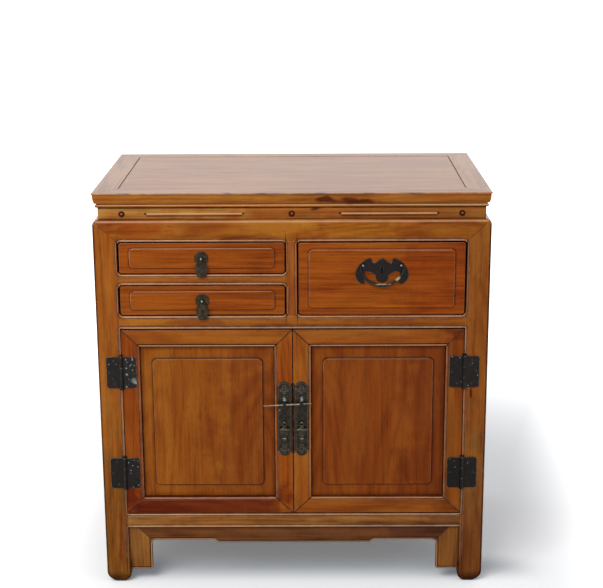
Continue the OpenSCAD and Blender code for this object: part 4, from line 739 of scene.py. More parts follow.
# dirt and painted shade in the groove above the top's bead, and painted shade under the bead
TOP_GROOVE_DIRT_AND_SHADE = level(-SIDE_X, SIDE_X, 0.8238, (0.0, 0.3, 0.6, 0.7))
TOP_GROOVE_DIRT_AND_SHADE += level(-SIDE_X, SIDE_X, 0.8162, (0.0, 0.5, 0.8, 0.85))
# a painted highlight along the crest of the top's bead
TOP_PAINTED_HIGHLIGHT = level(-0.394, 0.394, 0.8206, (0.0, 0.5, 0.9, 0.6))
# paler tones of the top: partly weathered wood, partly a painted sheen
WEATHERED_AND_SHEEN = shaded(HONEY, 1.15, 1.55, 3.0)
KNOTS = [patch(x, z, wide, high, DARKER, y=-0.24, reach_y=0.05)
         for x, z, wide, high in ((0.12, 0.829, 0.05, 0.008), (0.07, 0.833, 0.02, 0.006))]
# middle and reach of each chip along the upper edge
CHIPS = ((-0.33, 0.02), (-0.13, 0.012), (-0.05, 0.03), (0.06, 0.014), (0.16, 0.02), (0.24, 0.03))
CHIPPED = [patch(x, 0.8455, reach, 0.0024, DARKER, y=FRONT_Y, reach_y=0.01) for x, reach in CHIPS]
board("top_front", "x", 31, shaded(HONEY, 1.1, 1.3, 1.6), "top_rail_front", bead_width=0.8, streaks=2.6,
      fibres=1.2, dirt=TOP_DIRT + TOP_GROOVE_DIRT_AND_SHADE, rubbed=TOP_PAINTED_HIGHLIGHT, stains=KNOTS + CHIPPED, coat=0.8)
board("top_back", "x", 32, WEATHERED_AND_SHEEN, "top_rail_back", bead_width=0.8, coat=0.8)
board("top_ends", "y", 33, WEATHERED_AND_SHEEN, bead_width=0.8, dirt=TOP_DIRT, coat=0.8)
# the top panel's pale tones are partly weathered wood and partly a painted sheen
board("top_panel", "x", 34, shaded(GOLD, 1.3, 1.7, 2.9), width=0.4, bead_width=0.8, slot="panel_wood",
      rings=0.1, streaks=0.35, fibres=0.5, dirt=TOP_DIRT, coat=0.77)
print("top: 4 pieces")

# %% [markdown]
# ## Waist
#
# Below the top lies the waist with two raised beads and three small bosses. A boss has a dark ring round
# it, drawn as a stroke at some distance from a seam that is so short that it acts as a point, and a painted
# highlight on its upper side. Each bead has a painted highlight on its crest and painted shade below it and
# at its ends, and the waist has painted shade under the top's bead and above the rail.

# %% Waist
BEAD_Z, WAIST_Z, WAIST_Y = 0.802, 0.803, -0.22


def at_bosses(*strokes, up=0.0, length=0.1 * MM):
    """Lines at the middle of each boss."""
    z = BEAD_Z + up
    return [row for x in (-0.341, 0.0, 0.341) for row in line([(x, z), (x + length, z)], *strokes)]


# painted shade below each bead of the waist and at its ends
BEAD_PAINTED_SHADE = line([(0.1, BEAD_Z - 4.2 * MM), (0.29, BEAD_Z - 4.2 * MM)], (0.0, 0.6, 1.0, 0.7), sides=BOTH)
for x in (0.0965, 0.2935):
    BEAD_PAINTED_SHADE += line([(x, BEAD_Z), (x, BEAD_Z + 1 * MM)], (0.0, 1.4, 2.0, 0.75), sides=BOTH)
# a painted highlight along each bead's crest
BEAD_CREST = [(0.101, BEAD_Z + 0.8 * MM), (0.289, BEAD_Z + 0.8 * MM)]
BEAD_PAINTED_HIGHLIGHT = line(BEAD_CREST, (-0.2, 0.8, 1.2, 0.7), sides=BOTH)
# painted shade along the foot of the waist, under the top's bead, and at its end
WAIST_PAINTED_SHADE = level(-0.39, 0.39, 0.7912, (0.0, 0.5, 1.2, 0.8))
WAIST_PAINTED_SHADE += level(-0.39, 0.39, 0.8155, (0.0, 1.0, 2.2, 0.85))
WAIST_PAINTED_SHADE += line([(0.3895, 0.79), (0.3895, 0.8155)], (0.0, 1.0, 1.8, 0.8))
board("waist_front", "x", 35, shaded(HONEY, 1.24, 2.0, 4.2), width=0.6, bead_width=0.8, streaks=2.2,
      rubbed=BEAD_PAINTED_HIGHLIGHT, dirt=BEAD_PAINTED_SHADE + at_bosses((6.0, 0.4, 1.0, 0.7)) + WAIST_PAINTED_SHADE,
      stains=[patch(0.2, WAIST_Z, 0.5, 0.1, srgb(240, 204, 174), y=WAIST_Y),
              patch(0.05, 0.812, 0.015, 0.005, DARKER, y=WAIST_Y, reach_y=0.05),
              patch(0.28, WAIST_Z, 0.3, 0.1, srgb(234, 248, 268), y=WAIST_Y)])
board("waist_sides", "y", 36, HONEY, "waist_sides_back", width=0.6, bead_width=0.8)
# each boss has a dark ring and a painted highlight on its upper side
board("waist_bosses", "x", 37, shaded(RUSSET, 0.5, 0.38, 0.5), width=0.3, bead_width=0.3, slot="panel_wood",
      dirt=at_bosses((4.6, 0.9, 1.2, 0.9)), wear=0.3,
      rubbed=at_bosses((0.0, 0.6, 1.2, 0.45), up=1.2 * MM, length=0.5 * MM))
print("waist: 3 pieces")

# %% [markdown]
# ## Apron and brackets
#
# Under the bottom rail hangs an apron with a dropped middle, mitred to a bracket at each leg. They lie a
# little behind the legs; painted shade darkens them under the rail, beside the legs and along their lower
# edge, and dirt lies in their mitres. The inner corner of apron and bracket is rounded: the boards are cut by
# a few planes, and the new points are moved onto an arc.

# %% Rounded corner of the apron
BRACKET_X, APRON_Z = 0.3025, 0.0947
FILLET_R, FILLET_STEPS, SAME = 11 * MM, 4, 0.01 * MM
FILLET_X, FILLET_Z = BRACKET_X - FILLET_R, APRON_Z - FILLET_R
FILLET_CUTS = [((0, 0, FILLET_Z + FILLET_R * i / FILLET_STEPS), (0, 0, 1)) for i in range(FILLET_STEPS)]
FILLET_CUTS += [((side * (FILLET_X + FILLET_R * i / FILLET_STEPS), 0, 0), (1, 0, 0))
                for side in BOTH for i in range(FILLET_STEPS)]


def on_arc(angle, radius=FILLET_R):
    """A point of the arc, as X and Z."""
    return FILLET_X + radius * math.cos(angle), FILLET_Z + radius * math.sin(angle)


def round_corner(co):
    """Moves a point of the corner's edge onto the arc, half of which lies on the apron."""
    x = abs(co.x)
    if abs(x - BRACKET_X) < SAME and FILLET_Z <= co.z <= APRON_Z + SAME:
        turn = (co.z - FILLET_Z) / FILLET_R
    elif abs(co.z - APRON_Z) < SAME and FILLET_X <= x <= BRACKET_X:
        turn = 2 - (x - FILLET_X) / FILLET_R
    else:
        return co
    x, z = on_arc(turn * math.pi / 4)
    return Vector((math.copysign(x, co.x), co.y, z))


def apron_lines(up, stroke, rounded=True):
    """Lines at one height above the lower edge of the apron, its step and its brackets."""
    turn, foot, edge, low = BRACKET_X + up, 0.027 + up, APRON_Z + up, 0.0883 + up
    corner = [on_arc(i * math.pi / 8, FILLET_R + up) for i in range(5)] if rounded else [(turn, edge)]
    half = [(0.348, foot), (turn, foot), *corner, (0.169, edge), (0.160, low), (0.0, low)]
    return line(half, stroke, sides=BOTH)


print("rounded corner:", len(FILLET_CUTS), "cuts")

# %% [markdown]
# ## Boards of the apron
#
# Apron and brackets share their lines of dirt and painted shade and the painted highlight along their lower
# edge, because one line runs over all of them.

# %% Apron
# painted shade under the bottom rail and beside the legs, and dirt in the mitres of apron and brackets
APRON_DIRT_AND_SHADE = level(-CORNER_X, CORNER_X, RAIL_LOW, (0.0, 0.6, 6.0, 0.75))
APRON_DIRT_AND_SHADE += line([(CORNER_X, RAIL_LOW), (CORNER_X, 0.02)], (0.0, 0.8, 4.0, 0.7), sides=BOTH)
APRON_DIRT_AND_SHADE += line([(0.3347, RAIL_LOW), (BRACKET_X, APRON_Z)], (0.0, 0.3, 1.5, 0.7), sides=BOTH)
# dirt and painted shade in the groove, and painted shade along the lower edge
APRON_DIRT_AND_SHADE += apron_lines(4.4 * MM, (0.0, 0.8, 0.8, 0.95), rounded=False)
APRON_DIRT_AND_SHADE += apron_lines(0.0, (0.0, 0.3, 0.9, 0.8))
# the line along the bead above the lower edge is a painted highlight
APRON_LOOK = {"bead_width": 0.8, "reshape": round_corner, "cuts": FILLET_CUTS, "dirt": APRON_DIRT_AND_SHADE,
              "wear": 0.3, "rubbed": apron_lines(2.0 * MM, (0.0, 0.4, 0.9, 0.4))}
board("apron", "x", 41, shaded(OLIVE, 0.64, 0.52, 0.62), "apron_front", streaks=2.2,
      stains=[patch(0.06, 0.11, 0.36, 0.1, srgb(238, 234, 254), y=-0.2, reach_y=0.2),
              patch(0.29, 0.11, 0.13, 0.1, srgb(208, 204, 236), y=-0.2, reach_y=0.2)], **APRON_LOOK)
board("side_aprons", "y", 42, OLIVE, "aprons_side", bead_width=0.8)
board("brackets", "z", 43, shaded(OLIVE, 1.0, 0.86, 0.86), "apron_brackets", streaks=2.6, fibres=1.4,
      stains=[patch(0.33, 0.07, 0.1, 0.2, srgb(236, 230, 224), y=-0.22)], **APRON_LOOK)
print("apron: 3 pieces")

# %% [markdown]
# ## Doors and drawer fronts
#
# A door is a mitred frame with a panel let into a groove. The panel stands back from the frame and its
# raised field comes forward again. The field's upper and left edges get a painted highlight and its lower
# and right edges painted shade, dirt and painted shade line its foot, and painted shade fills the recess
# round the panel. A drawer front is one board with the same raised field. Both doors are made by one loop,
# but each board has its own cut of grain.

# %% Doors
STILE, DOOR_RAIL = 36.0 * MM, 34.8 * MM
DOOR_LOW, DOOR_HIGH = 0.1597, 0.5627
HINGE_EDGE, MEETING_EDGE = 0.3506, 0.0008
FIELD_IN_X, FIELD_IN_Z, FIELD_R, FIELD_OUT = 26 * MM, 28.5 * MM, 9 * MM, 1 * MM
DOOR_TONES = {
    "left": {"stiles": shaded(AMBER, 0.97, 1.0, 1.1), "rails": shaded(HONEY, 0.92, 0.86, 0.8),
             "panel": shaded(GOLD, 1.04, 1.09, 1.1)},
    "right": {"stiles": HONEY, "rails": shaded(HONEY, 0.9, 0.88, 1), "panel": RUSSET},
}
FRAME_STAINS = {
    "left": [patch(-0.176, 0.176, 0.32, 0.06, srgb(188, 146, 190)),
             patch(-0.34, 0.36, 0.06, 0.5, srgb(240, 226, 230))],
    "right": [patch(0.34, 0.36, 0.06, 0.5, srgb(216, 204, 200)),
              patch(0.34, 0.556, 0.03, 0.025, srgb(196, 150, 168), 0.8)],
}
PANEL_STAINS = {"left": [patch(-0.08, 0.32, 0.11, 0.32, srgb(230, 216, 234))],
                "right": [patch(0.28, 0.36, 0.07, 0.34, srgb(230, 220, 236))]}
# painted shade with some dirt on the stiles between the two lock plates
PLATE_GAP_DIRT_AND_SHADE = line([(0.0, 0.2975), (0.0, 0.4445)], (0.0, 3.8, 1.2, 0.93))


def field_painted_light(field, inset):
    """Painted shade below a raised field and at its right, and painted highlights above it and at its left.
    """
    left, right, low, high = field
    dark, pale, beside = (0.0, 0.6, 1.6, 0.55), (0.0, 0.4, 0.7, 0.45), right + FIELD_OUT
    return (level(left + inset, right - inset, low - FIELD_OUT, dark)
            + line([(beside, low + inset), (beside, high - inset)], dark),
            level(left + inset, right - inset, high, pale)
            + line([(left, high - inset), (left, high - 3 * inset)], pale))


for number, (side, sign) in enumerate((("left", -1), ("right", 1))):
    outer = (*sorted((sign * HINGE_EDGE, sign * MEETING_EDGE)), DOOR_LOW, DOOR_HIGH)
    hole = within(outer, STILE, DOOR_RAIL)
    field = within(hole, FIELD_IN_X, FIELD_IN_Z)
    # the door's frame: painted shade beside the hinges, between the lock plates and along its edge at the
    # gap; dirt and painted shade in its groove; painted shade just inside the panel's opening; dirt in its
    # mitres
    frame_dirt = HINGE_GAP_SHADE + PLATE_GAP_DIRT_AND_SHADE + bay_line(outer, (0.0, 0.2, 1.6, 0.6))
    frame_dirt += bay_line(hole, (GROOVE, 0.5, 0.25, 0.9), (GROOVE + 0.8, 0.5, 1.5, 0.3),
                           (-1.6, 1.2, 0.3, 0.9))
    for i, j in ((0, 2), (0, 3), (1, 2), (1, 3)):
        frame_dirt += line([(outer[i], outer[j]), (hole[i], hole[j])], (0.0, 0.8, 0.9, 0.85), plane="through")
    # painted highlights along the beads above and below the panel
    frame_painted_highlight = (level(hole[0], hole[1], hole[2] - BEAD / 2, (0.0, 0.5, 0.9, 0.5))
                   + level(hole[0], hole[1], hole[3] + BEAD / 2, (0.0, 0.5, 0.9, 0.5)))
    field_dirt, field_painted_highlight = field_painted_light(field, FIELD_R)
    # painted shade in the recess round the panel, and dirt and painted shade round the field's foot
    field_dirt += bay_line(hole, (-0.6, 1.0, 3.5, 0.85), (-3.0, 2.0, 7.0, 0.3))
    field_dirt += bay_line(field, (0.6, 0.8, 0.9, 0.75), (2.0, 0.5, 3.0, 0.25), corner=FIELD_R)
    frame_look = {"dirt": frame_dirt, "streaks": 1.3, "stains": FRAME_STAINS[side]}
    tones, seed = DOOR_TONES[side], 51 + 10 * number
    board(f"door_{side}_stiles", "z", seed, tones["stiles"], **frame_look)
    board(f"door_{side}_rails", "x", seed + 1, tones["rails"], rubbed=frame_painted_highlight, **frame_look)
    board(f"door_{side}_panel", "z", seed + 2, tones["panel"], width=1.6, slot="panel_wood", streaks=0.6,
          fibres=0.85, flame=0.4, dirt=field_dirt, rubbed=field_painted_highlight, stains=PANEL_STAINS[side], wear=0.2,
          coat=0.4)
print("doors: 6 pieces")

# %% [markdown]
# ## Drawer fronts
#
# The three fronts differ in size, tone and the margin of their raised field. Each has settled a little in
# its opening, so its gap is wider at one side, and the finished mesh is moved by that amount.

# %% Drawer fronts
# painted shade: a dark patch on the large drawer's front behind the keyhole
KEYHOLE_PAINTED_SHADE = line([(BAT_X, 0.6925), (BAT_X, 0.6815)], (0.0, 5.0, 0.2, 1.0))
RIGHT_END = patch(0.31, 0.66, 0.13, 0.2, srgb(238, 222, 222))
FRONT_FIELD_IN, FRONT_FIELD_R = 21 * MM, 7 * MM
# opening, margin of the field above and below in mm, how the front has settled in mm, tones, extra painted
# shade, stains
DRAWERS = {
    "upper_left": (UPPER_DRAWER, 11.5, (0.8, -0.3), shaded(AMBER, 0.94, 0.92, 1), [], []),
    "lower_left": (LOWER_DRAWER, 11.5, (0.2, 0.3), shaded(AMBER, 0.96, 0.98, 1), [], []),
    "right": (WIDE_DRAWER, 15.0, (-0.4, -1.3), AMBER, KEYHOLE_PAINTED_SHADE, [RIGHT_END]),
}
for number, (drawer, (bay, margin, settled, tones, more_dirt, stains)) in enumerate(DRAWERS.items()):
    face = within(bay, DRAWER_GAP, DRAWER_GAP)
    field = within(face, FRONT_FIELD_IN, margin * MM)
    field_dirt, field_painted_highlight = field_painted_light(field, FRONT_FIELD_R)
    # painted shade along the front's edge at the gap, and dirt and painted shade round the field's foot
    dirt = more_dirt + field_dirt + bay_line(face, (0.0, 0.3, 1.2, 0.7), corner=OPENING_R - DRAWER_GAP)
    dirt += bay_line(field, (0.7, 0.5, 0.6, 0.75), (1.8, 0.4, 2.5, 0.25), corner=FRONT_FIELD_R)
    front = board(f"drawer_{drawer}_front", "x", 71 + number, tones, width=1.2, slot="panel_wood", flame=0.3,
                  fibres=1.7, streaks=1.2, dirt=dirt, rubbed=field_painted_highlight, stains=stains, wear=0.35, coat=0.6)
    for v in front.data.vertices:
        v.co += Vector((settled[0] * MM, 0.0, settled[1] * MM))
print("drawer fronts: 3 pieces")

# %% [markdown]
# ## Inner boards
#
# The boards inside are plain pale softwood, seen only with a door or drawer open. The CAD solids already
# have their shape, so they keep it and only get a material.

# %% Inner boards
inner = wood("inner_board", "x", 91, PALE, gloss=0.6, coat=0.0)
INNER_NODES = ["top_battens", "dust_board", "cupboard_floor", "drawer_partition", "drawer_runners",
               "drawer_upper_left_box", "drawer_lower_left_box", "drawer_right_box"]
for node in INNER_NODES:
    materials = frame["nodes"][node].data.materials
    materials.clear()
    materials.append(inner)
print("inner boards:", len(INNER_NODES))

# %% [markdown]
# ## Dark brass
#
# The fittings are brass that has gone nearly black, with an olive tint, and it shines where fingers rub its
# edges; those edges are also painted paler, partly as wear and partly as a painted highlight. Pale specks of
# wax and bare metal sit on the hinges. A cell pattern gives the specks: only some cells get one, and each is
# much smaller than its cell. Engraved lines are cut with the same line mask as the dirt on the wood. Stains
# give painted highlights on lugs, posts, eyes, finials and the bail, and painted shade at the keyhole.

# %% Speck group
net, given, gives, SPECKS = group(
    "specks",
    [("Vector", "Vector", None), ("Float", "Cells", 260.0), ("Float", "Share", 0.2), ("Float", "Size", 0.3)],
    [("Float", "Mask", None)],
)
cells = net.put("ShaderNodeTexVoronoi", {"Vector": given["Vector"], "Scale": given["Cells"]}, out="Distance")
lot = net.put("ShaderNodeSeparateColor", {0: cells.node.outputs["Color"]}).node.outputs
picked = net.math("LESS_THAN", lot["Red"], given["Share"])
size = net.times(given["Size"], net.math("MULTIPLY_ADD", lot["Green"], 0.8, 0.4))
speck = net.ramp(cells, net.times(size, 0.4), size, 1.0, 0.0)
net.fill(gives, {"Mask": net.times(speck, picked)})
print("speck group:", len(SPECKS.nodes), "nodes")

# %% Dark brass recipe
# paler brass of worn edges and engraved lines, on the edges partly a painted highlight; pale wax for specks
BRASS_WEAR_AND_HIGHLIGHT, WAX = srgb(196, 184, 156), srgb(206, 206, 204)
# pale grey of the spots on a hinge leaf and of painted highlights, and a warm painted highlight
GREY_SPOT_AND_HIGHLIGHT, WARM_PAINTED_HIGHLIGHT = srgb(138, 146, 142), srgb(172, 158, 126)
# a stain whose linear parts add up to less than this is dark, such as the keyhole's painted shade, and leaves
# the metal as it is
DARK_STAIN = 0.05


def fitting_spot(x, z, out, reach, shade, strength):
    """A spot on a fitting, out mm before the front, with its reach along each axis in mm; it gives pale grey
    spots, painted highlights and the keyhole's painted shade.
    """
    return (x, FRONT_Y - out * MM, z), tuple(r * MM for r in reach), shade, strength


def dark_brass(name, seed, tone=srgb(28, 24, 20), tint=srgb(20, 19, 19), rough=0.36, wear=0.5, specks=0.04,
               engraved=(), stains=(), coat=0.9):
    """Old brass in two tones; its pale stains and specks lie over the metal, and its stains include painted
    highlights and painted shade.
    """
    material, net, shader, place, shift = new_material(name, seed)
    moved = net.put("ShaderNodeMapping", {"Vector": place, "Location": shift})
    cloud = net.noise(moved, (130, 130, 130), 4.0, 0.6)
    hammered = net.noise(moved, (420, 420, 420), 2.0, 0.5)
    height = net.math("MULTIPLY_ADD", hammered, 0.5, cloud)
    colour = net.mix(net.ramp(cloud, 0.38, 0.62), tone, tint)
    edge = net.put("ShaderNodeAttribute", out="Fac", attribute_name="edge")
    bare = net.times(edge, net.ramp(cloud, 0.4, 0.62, 0.1 * wear, wear))
    if engraved:
        cut = line_mask(net, place, engraved)
        bare = net.higher(bare, net.times(cut, net.ramp(hammered, 0.4, 0.6, 0.15, 0.5)))
        height = net.math("MULTIPLY_ADD", cut, -1.2, height)
    colour = net.mix(bare, colour, BRASS_WEAR_AND_HIGHLIGHT)
    pale = net.use(SPECKS, {"Vector": moved, "Share": specks}, "Mask")
    colour = net.mix(net.times(pale, 0.8), colour, WAX)
    # stains: pale grey spots, painted highlights and the keyhole's painted shade; pale ones make the metal
    # less metallic
    for centre, reach, shade, strength in stains:
        values = {"Vector": place, "Centre": centre, "Reach": reach, "Strength": strength, "Fineness": 400.0}
        spot_mask = net.use(STAIN, values, "Mask")
        colour = net.mix(spot_mask, colour, shade)
        if sum(shade[:3]) > DARK_STAIN:
            pale = net.higher(pale, spot_mask)
    facing = net.put("ShaderNodeLayerWeight", {"Blend": 0.5}, out="Facing")
    shine = net.ramp(facing, 0.3, 0.8, 0.03, coat)
    shine = net.higher(shine, net.times(edge, 0.6 * coat))
    net.fill(shader, {
        "Base Color": colour,
        "Roughness": net.math("MULTIPLY_ADD", cloud, 0.2, rough),
        "Metallic": net.math("MULTIPLY_ADD", pale, -0.8, 0.85, clamp=True),
        "Normal": net.put("ShaderNodeBump", {"Strength": 0.35, "Distance": 0.0003, "Height": height}),
        "Coat Weight": shine, "Coat Roughness": 0.22, "Coat IOR": 1.7,
    })
    return material


old_brass = dark_brass("old_brass", 81)
print("dark brass recipe is ready")

# %% [markdown]
# ## Hinges
#
# Each hinge has two leaves, one on the leg and one on the door, with a knuckled barrel between them. The
# leaves keep their CAD shape with softened edges. The left door's upper leaf is speckled with wax and has
# pale grey spots and a pale smudge.

# %% Hinges
# pale grey spots: x, z and reach in mm, strength
GREY_SPOTS = ((-342, 500.5, 1.7, 0.8), (-329, 500, 2.0, 0.9), (-340, 495, 1.6, 0.5), (-342, 482, 2.0, 0.85),
         (-329, 478, 1.8, 0.6), (-341, 468.5, 2.4, 0.95), (-335, 486, 1.4, 0.4), (-331, 490, 1.4, 0.45),
         (-342, 442, 2.2, 0.8), (-337, 458, 1.5, 0.4), (-326, 455, 6.5, 0.5), (-323.5, 450.5, 3.0, 0.8))
GREY_SPOT_MARKS = [fitting_spot(x * MM, z * MM, 2, (reach, 5, reach), GREY_SPOT_AND_HIGHLIGHT, 0.8 * strength)
             for x, z, reach, strength in GREY_SPOTS]
leg_leaf = dark_brass("leg_leaf", 82, tone=srgb(24, 19, 15), tint=srgb(17, 15, 13), specks=0.05, coat=0.7)
left_leaf = dark_brass("left_door_leaf", 83, specks=0.14, stains=GREY_SPOT_MARKS)
right_leaf = dark_brass("right_door_leaf", 84, tone=srgb(20, 15, 11), tint=srgb(13, 12, 10), specks=0.05,
                        coat=0.6)


def softened_metal(node, material, width=0.6, steps=2):
    """A fitting that keeps its CAD shape, with small rounds along its edges."""
    return softened(node + "_metal", node, material, width, width, steps)


softened_metal("hinge_leaves_legs", leg_leaf)
softened_metal("hinge_pins", old_brass, 0.4)
softened_metal("door_left_hinge_leaves", left_leaf)
softened_metal("door_right_hinge_leaves", right_leaf)
print("hinges: 4 pieces")

# %% [markdown]
# ## Nails
#
# Three domed nails hold each leaf. They repeat, so Geometry Nodes make them: a mesh of points marks the
# places, and a small domed head with its shank is put on each point, turned and scaled a little by a fixed
# seed, because they were made by hand. The tree ends by realizing the copies and setting the material.


# %% Geometry Nodes helper
def rule(name, numbers):
    """A new Geometry Nodes tree with named number inputs, a seed and a finish."""
    shape = ("Geometry", "Geometry", None)
    rows = [shape, *(("Float", label, None) for label in numbers)]
    rows += [("Int", "Seed", None), ("Material", "Finish", None)]
    return group(name, rows, [shape], "GeometryNodeTree")


def resized(net, shape, x, y, z):
    """A shape, scaled along each axis."""
    return net.put("GeometryNodeTransform", {"Geometry": shape, "Scale": net.join(x, y, z)})


def end_with(net, shape, given, gives):
    """Realizes the copies and sets their material, because only real mesh is exported."""
    real = net.put("GeometryNodeRealizeInstances", {"Geometry": shape})
    done = net.put("GeometryNodeSetMaterial", {"Geometry": real, "Material": given["Finish"]})
    net.fill(gives, {"Geometry": done})


def baked_by(tree, name, points, values, body, nodes=(), rubbed=0.0):
    """Runs a tree on a mesh of points and keeps the result as a plain mesh."""
    base = bpy.data.meshes.new(name + "_points")
    base.from_pydata(points, [], [])
    piece = in_scene(name, base)
    modifier = piece.modifiers.new("made by rule", "NODES")
    modifier.node_group = tree
    sockets = {item.name: item.identifier for item in tree.interface.items_tree if item.in_out == "INPUT"}
    for label, value in values.items():
        modifier[sockets[label]] = value
    piece.data = applied(piece)
    piece.data.materials.clear()
    piece.data.materials.append(values["Finish"])
    return finished(piece, body, nodes, rubbed)


print("Geometry Nodes helper is ready")

# %% [markdown]
# ## One nail
#
# A nail is a flattened sphere for the head and a cone for the shank. Only the head shows, but the shank
# fills the hole that the nail has in the board.

# %% Nail tree
TIP_R, NAIL_SCALE = 0.3 * MM, (0.86, 1.06)
net, given, gives, NAILS = rule("domed_nails", ["Head Radius", "Head Height", "Shank Radius", "Shank Length"])
head = net.put("GeometryNodeMeshUVSphere", {"Segments": 14, "Rings": 8, "Radius": 1.0})
head = resized(net, head, given["Head Radius"], given["Head Radius"], given["Head Height"])
shank = net.put("GeometryNodeMeshCone", {"Vertices": 10, "Radius Top": given["Shank Radius"],
                                         "Radius Bottom": TIP_R, "Depth": given["Shank Length"]})
sunk = net.join(z=net.times(given["Shank Length"], -1.0))
shank = net.put("GeometryNodeTransform", {"Geometry": shank, "Translation": sunk})
nail = net.put("GeometryNodeJoinGeometry")
for part in (head, shank):
    net.tree.links.new(part, nail.node.inputs[0])
drawn = [{2: low, 3: high, "Seed": given["Seed"]} for low, high in (NAIL_SCALE, (0.0, 6.28))]
size, turn = (net.put("FunctionNodeRandomValue", values, 1, data_type="FLOAT") for values in drawn)
nails = net.put("GeometryNodeInstanceOnPoints", {"Points": given["Geometry"], "Instance": nail, "Scale": size,
                                                 "Rotation": net.join(x=math.radians(90), y=turn)})
end_with(net, nails, given, gives)
print("nail tree:", len(NAILS.nodes), "nodes")

# %% [markdown]
# ## Nails on the leaves
#
# Each leaf has three nails in a triangle, and the leaves of the door mirror those of the leg.

# %% Nails
LEAF_T = 1.8 * MM
NAIL_SPOTS = ((15.5 * MM, 25 * MM), (24.8 * MM, 0.0), (13.95 * MM, -25 * MM))
NAIL_SIZES = {"Head Radius": 2.6 * MM, "Head Height": 1.2 * MM, "Shank Radius": 1.1 * MM,
              "Shank Length": 14 * MM}
nail_brass = dark_brass("nail_brass", 85, tone=srgb(46, 42, 36), wear=0.8, specks=0.0)


def nail_places(side, out):
    """Points on the leaves of one side; out is 1 for the leg's leaves and -1 for the door's."""
    return [(side * (CORNER_X + out * dx), FRONT_Y - LEAF_T, z + dz)
            for z in HINGE_HEIGHTS for dx, dz in NAIL_SPOTS]


NAIL_JOBS = {
    "hinge_nails_legs": nail_places(-1, 1) + nail_places(1, 1),
    "door_left_nails": nail_places(-1, -1),
    "door_right_nails": nail_places(1, -1),
}
for number, (node, spots) in enumerate(NAIL_JOBS.items()):
    values = {**NAIL_SIZES, "Seed": number, "Finish": nail_brass}
    baked_by(NAILS, node + "_brass", spots, values, node_body[node], [node])
print("nails:", sum(len(spots) for spots in NAIL_JOBS.values()))

# %% [markdown]
# ## Lock plates
#
# Two tall plates meet at the doors' edge. Each carries a lug, and a thin pale pin through both lugs keeps
# the doors shut. The plates have a fine engraved border and small rings in their round ends, now hard to
# see.

# %% Lock plates
PLATE_X, PLATE_LOW, PLATE_HIGH = 18 * MM, 0.2894, 0.4524
PLATE_OUTER, PLATE_STRETCH = 0.0325, 1.04
LOCK_PIN_Z, DOOR_EYE_Z = 0.4049, 0.3634
# rings in each end of a plate: across, up and radius in mm
PLATE_RINGS = ((0, 4, 3.4), (-5.6, -3, 2.8), (5.6, -3, 2.8), (0, -8, 2.2))
for number, (side, sign) in enumerate((("left", -1), ("right", 1))):
    x = sign * PLATE_X
    border = within((x, x, PLATE_LOW, PLATE_HIGH), -12 * MM, 4 * MM)
    engraved = bay_line(border, (0.0, 0.2, 0.35, 0.3), corner=11 * MM)
    for z in (PLATE_HIGH - 16 * MM, PLATE_LOW + 17 * MM):
        for dx, dz, r in PLATE_RINGS:
            middle_x, middle_z = x + dx * MM, z + dz * MM
            ring = within((middle_x, middle_x, middle_z, middle_z), -r * MM, -r * MM)
            engraved += bay_line(ring, (0.0, 0.25, 0.4, 0.45), corner=r * MM)
    # painted highlights on the lug's upper slope, along its crossbar and on the door's eye
    lug_painted_highlights = [fitting_spot(x, LOCK_PIN_Z + 10.5 * MM, 4, (3.2, 6, 4.6), GREY_SPOT_AND_HIGHLIGHT, 0.65),
              fitting_spot(x, LOCK_PIN_Z + 7.3 * MM, 5, (5.0, 8, 0.9), GREY_SPOT_AND_HIGHLIGHT, 0.6),
              fitting_spot(x, DOOR_EYE_Z + 2.4 * MM, 8, (1.6, 3, 1.6), GREY_SPOT_AND_HIGHLIGHT, 0.7)]
    plate = dark_brass(f"lock_plate_{side}", 86 + number, tone=srgb(42, 33, 24), tint=srgb(25, 21, 17),
                       specks=0.02, wear=0.25, engraved=engraved, stains=lug_painted_highlights)
    made = softened_metal(f"door_{side}_lock_plate", plate)
    outer = sign * PLATE_OUTER
    for v in made.data.vertices:
        v.co.x = outer + (v.co.x - outer) * PLATE_STRETCH
print("lock plates: 2 pieces")

# %% [markdown]
# ## Rods and lofts
#
# The pulls and the bail are all skins over a row of rings: a rod that is thick in one place and thin in
# another. The helper below carries an oval ring along a path in a plane parallel to the front, closes both
# ends, and can cut flutes into it. Widths and depths are given at a few places along the path.


# %% Loft helper
def circle(count):
    """Angles round a circle."""
    return [2 * math.pi * k / count for k in range(count)]


def skin(work, rings):
    """Adds a closed skin over rings to a bmesh."""
    rows = [[work.verts.new(point) for point in ring_points] for ring_points in rings]
    count = len(rows[0])
    for low, high in zip(rows, rows[1:]):
        for k in range(count):
            work.faces.new((low[k], low[(k + 1) % count], high[(k + 1) % count], high[k]))
    work.faces.new(list(reversed(rows[0])))
    work.faces.new(rows[-1])


def rod(work, path, widths, depths, out, sides, flutes=0, flute_depth=0.0):
    """Adds a rod along a path of (x, z); half widths lie in the plane, half depths across it."""
    rings = []
    for i, (x, z) in enumerate(path):
        before, after = path[max(i - 1, 0)], path[min(i + 1, len(path) - 1)]
        ahead = Vector((after[0] - before[0], after[1] - before[1])).normalized()
        points = []
        for turn in circle(sides):
            cut = 1 + flute_depth * math.cos(flutes * turn)
            across = widths[i] * cut * math.cos(turn)
            y = FRONT_Y - out + depths[i] * cut * math.sin(turn)
            points.append((x - ahead.y * across, y, z + ahead.x * across))
        rings.append(points)
    skin(work, rings)


def fitting(name, work, material, node):
    """Turns a bmesh of closed skins into a finished piece that stands for a CAD node."""
    bmesh.ops.recalc_face_normals(work, faces=work.faces)
    mesh = mesh_from(work, name)
    mesh.materials.append(material)
    return finished(in_scene(name, mesh), node_body[node], [node])


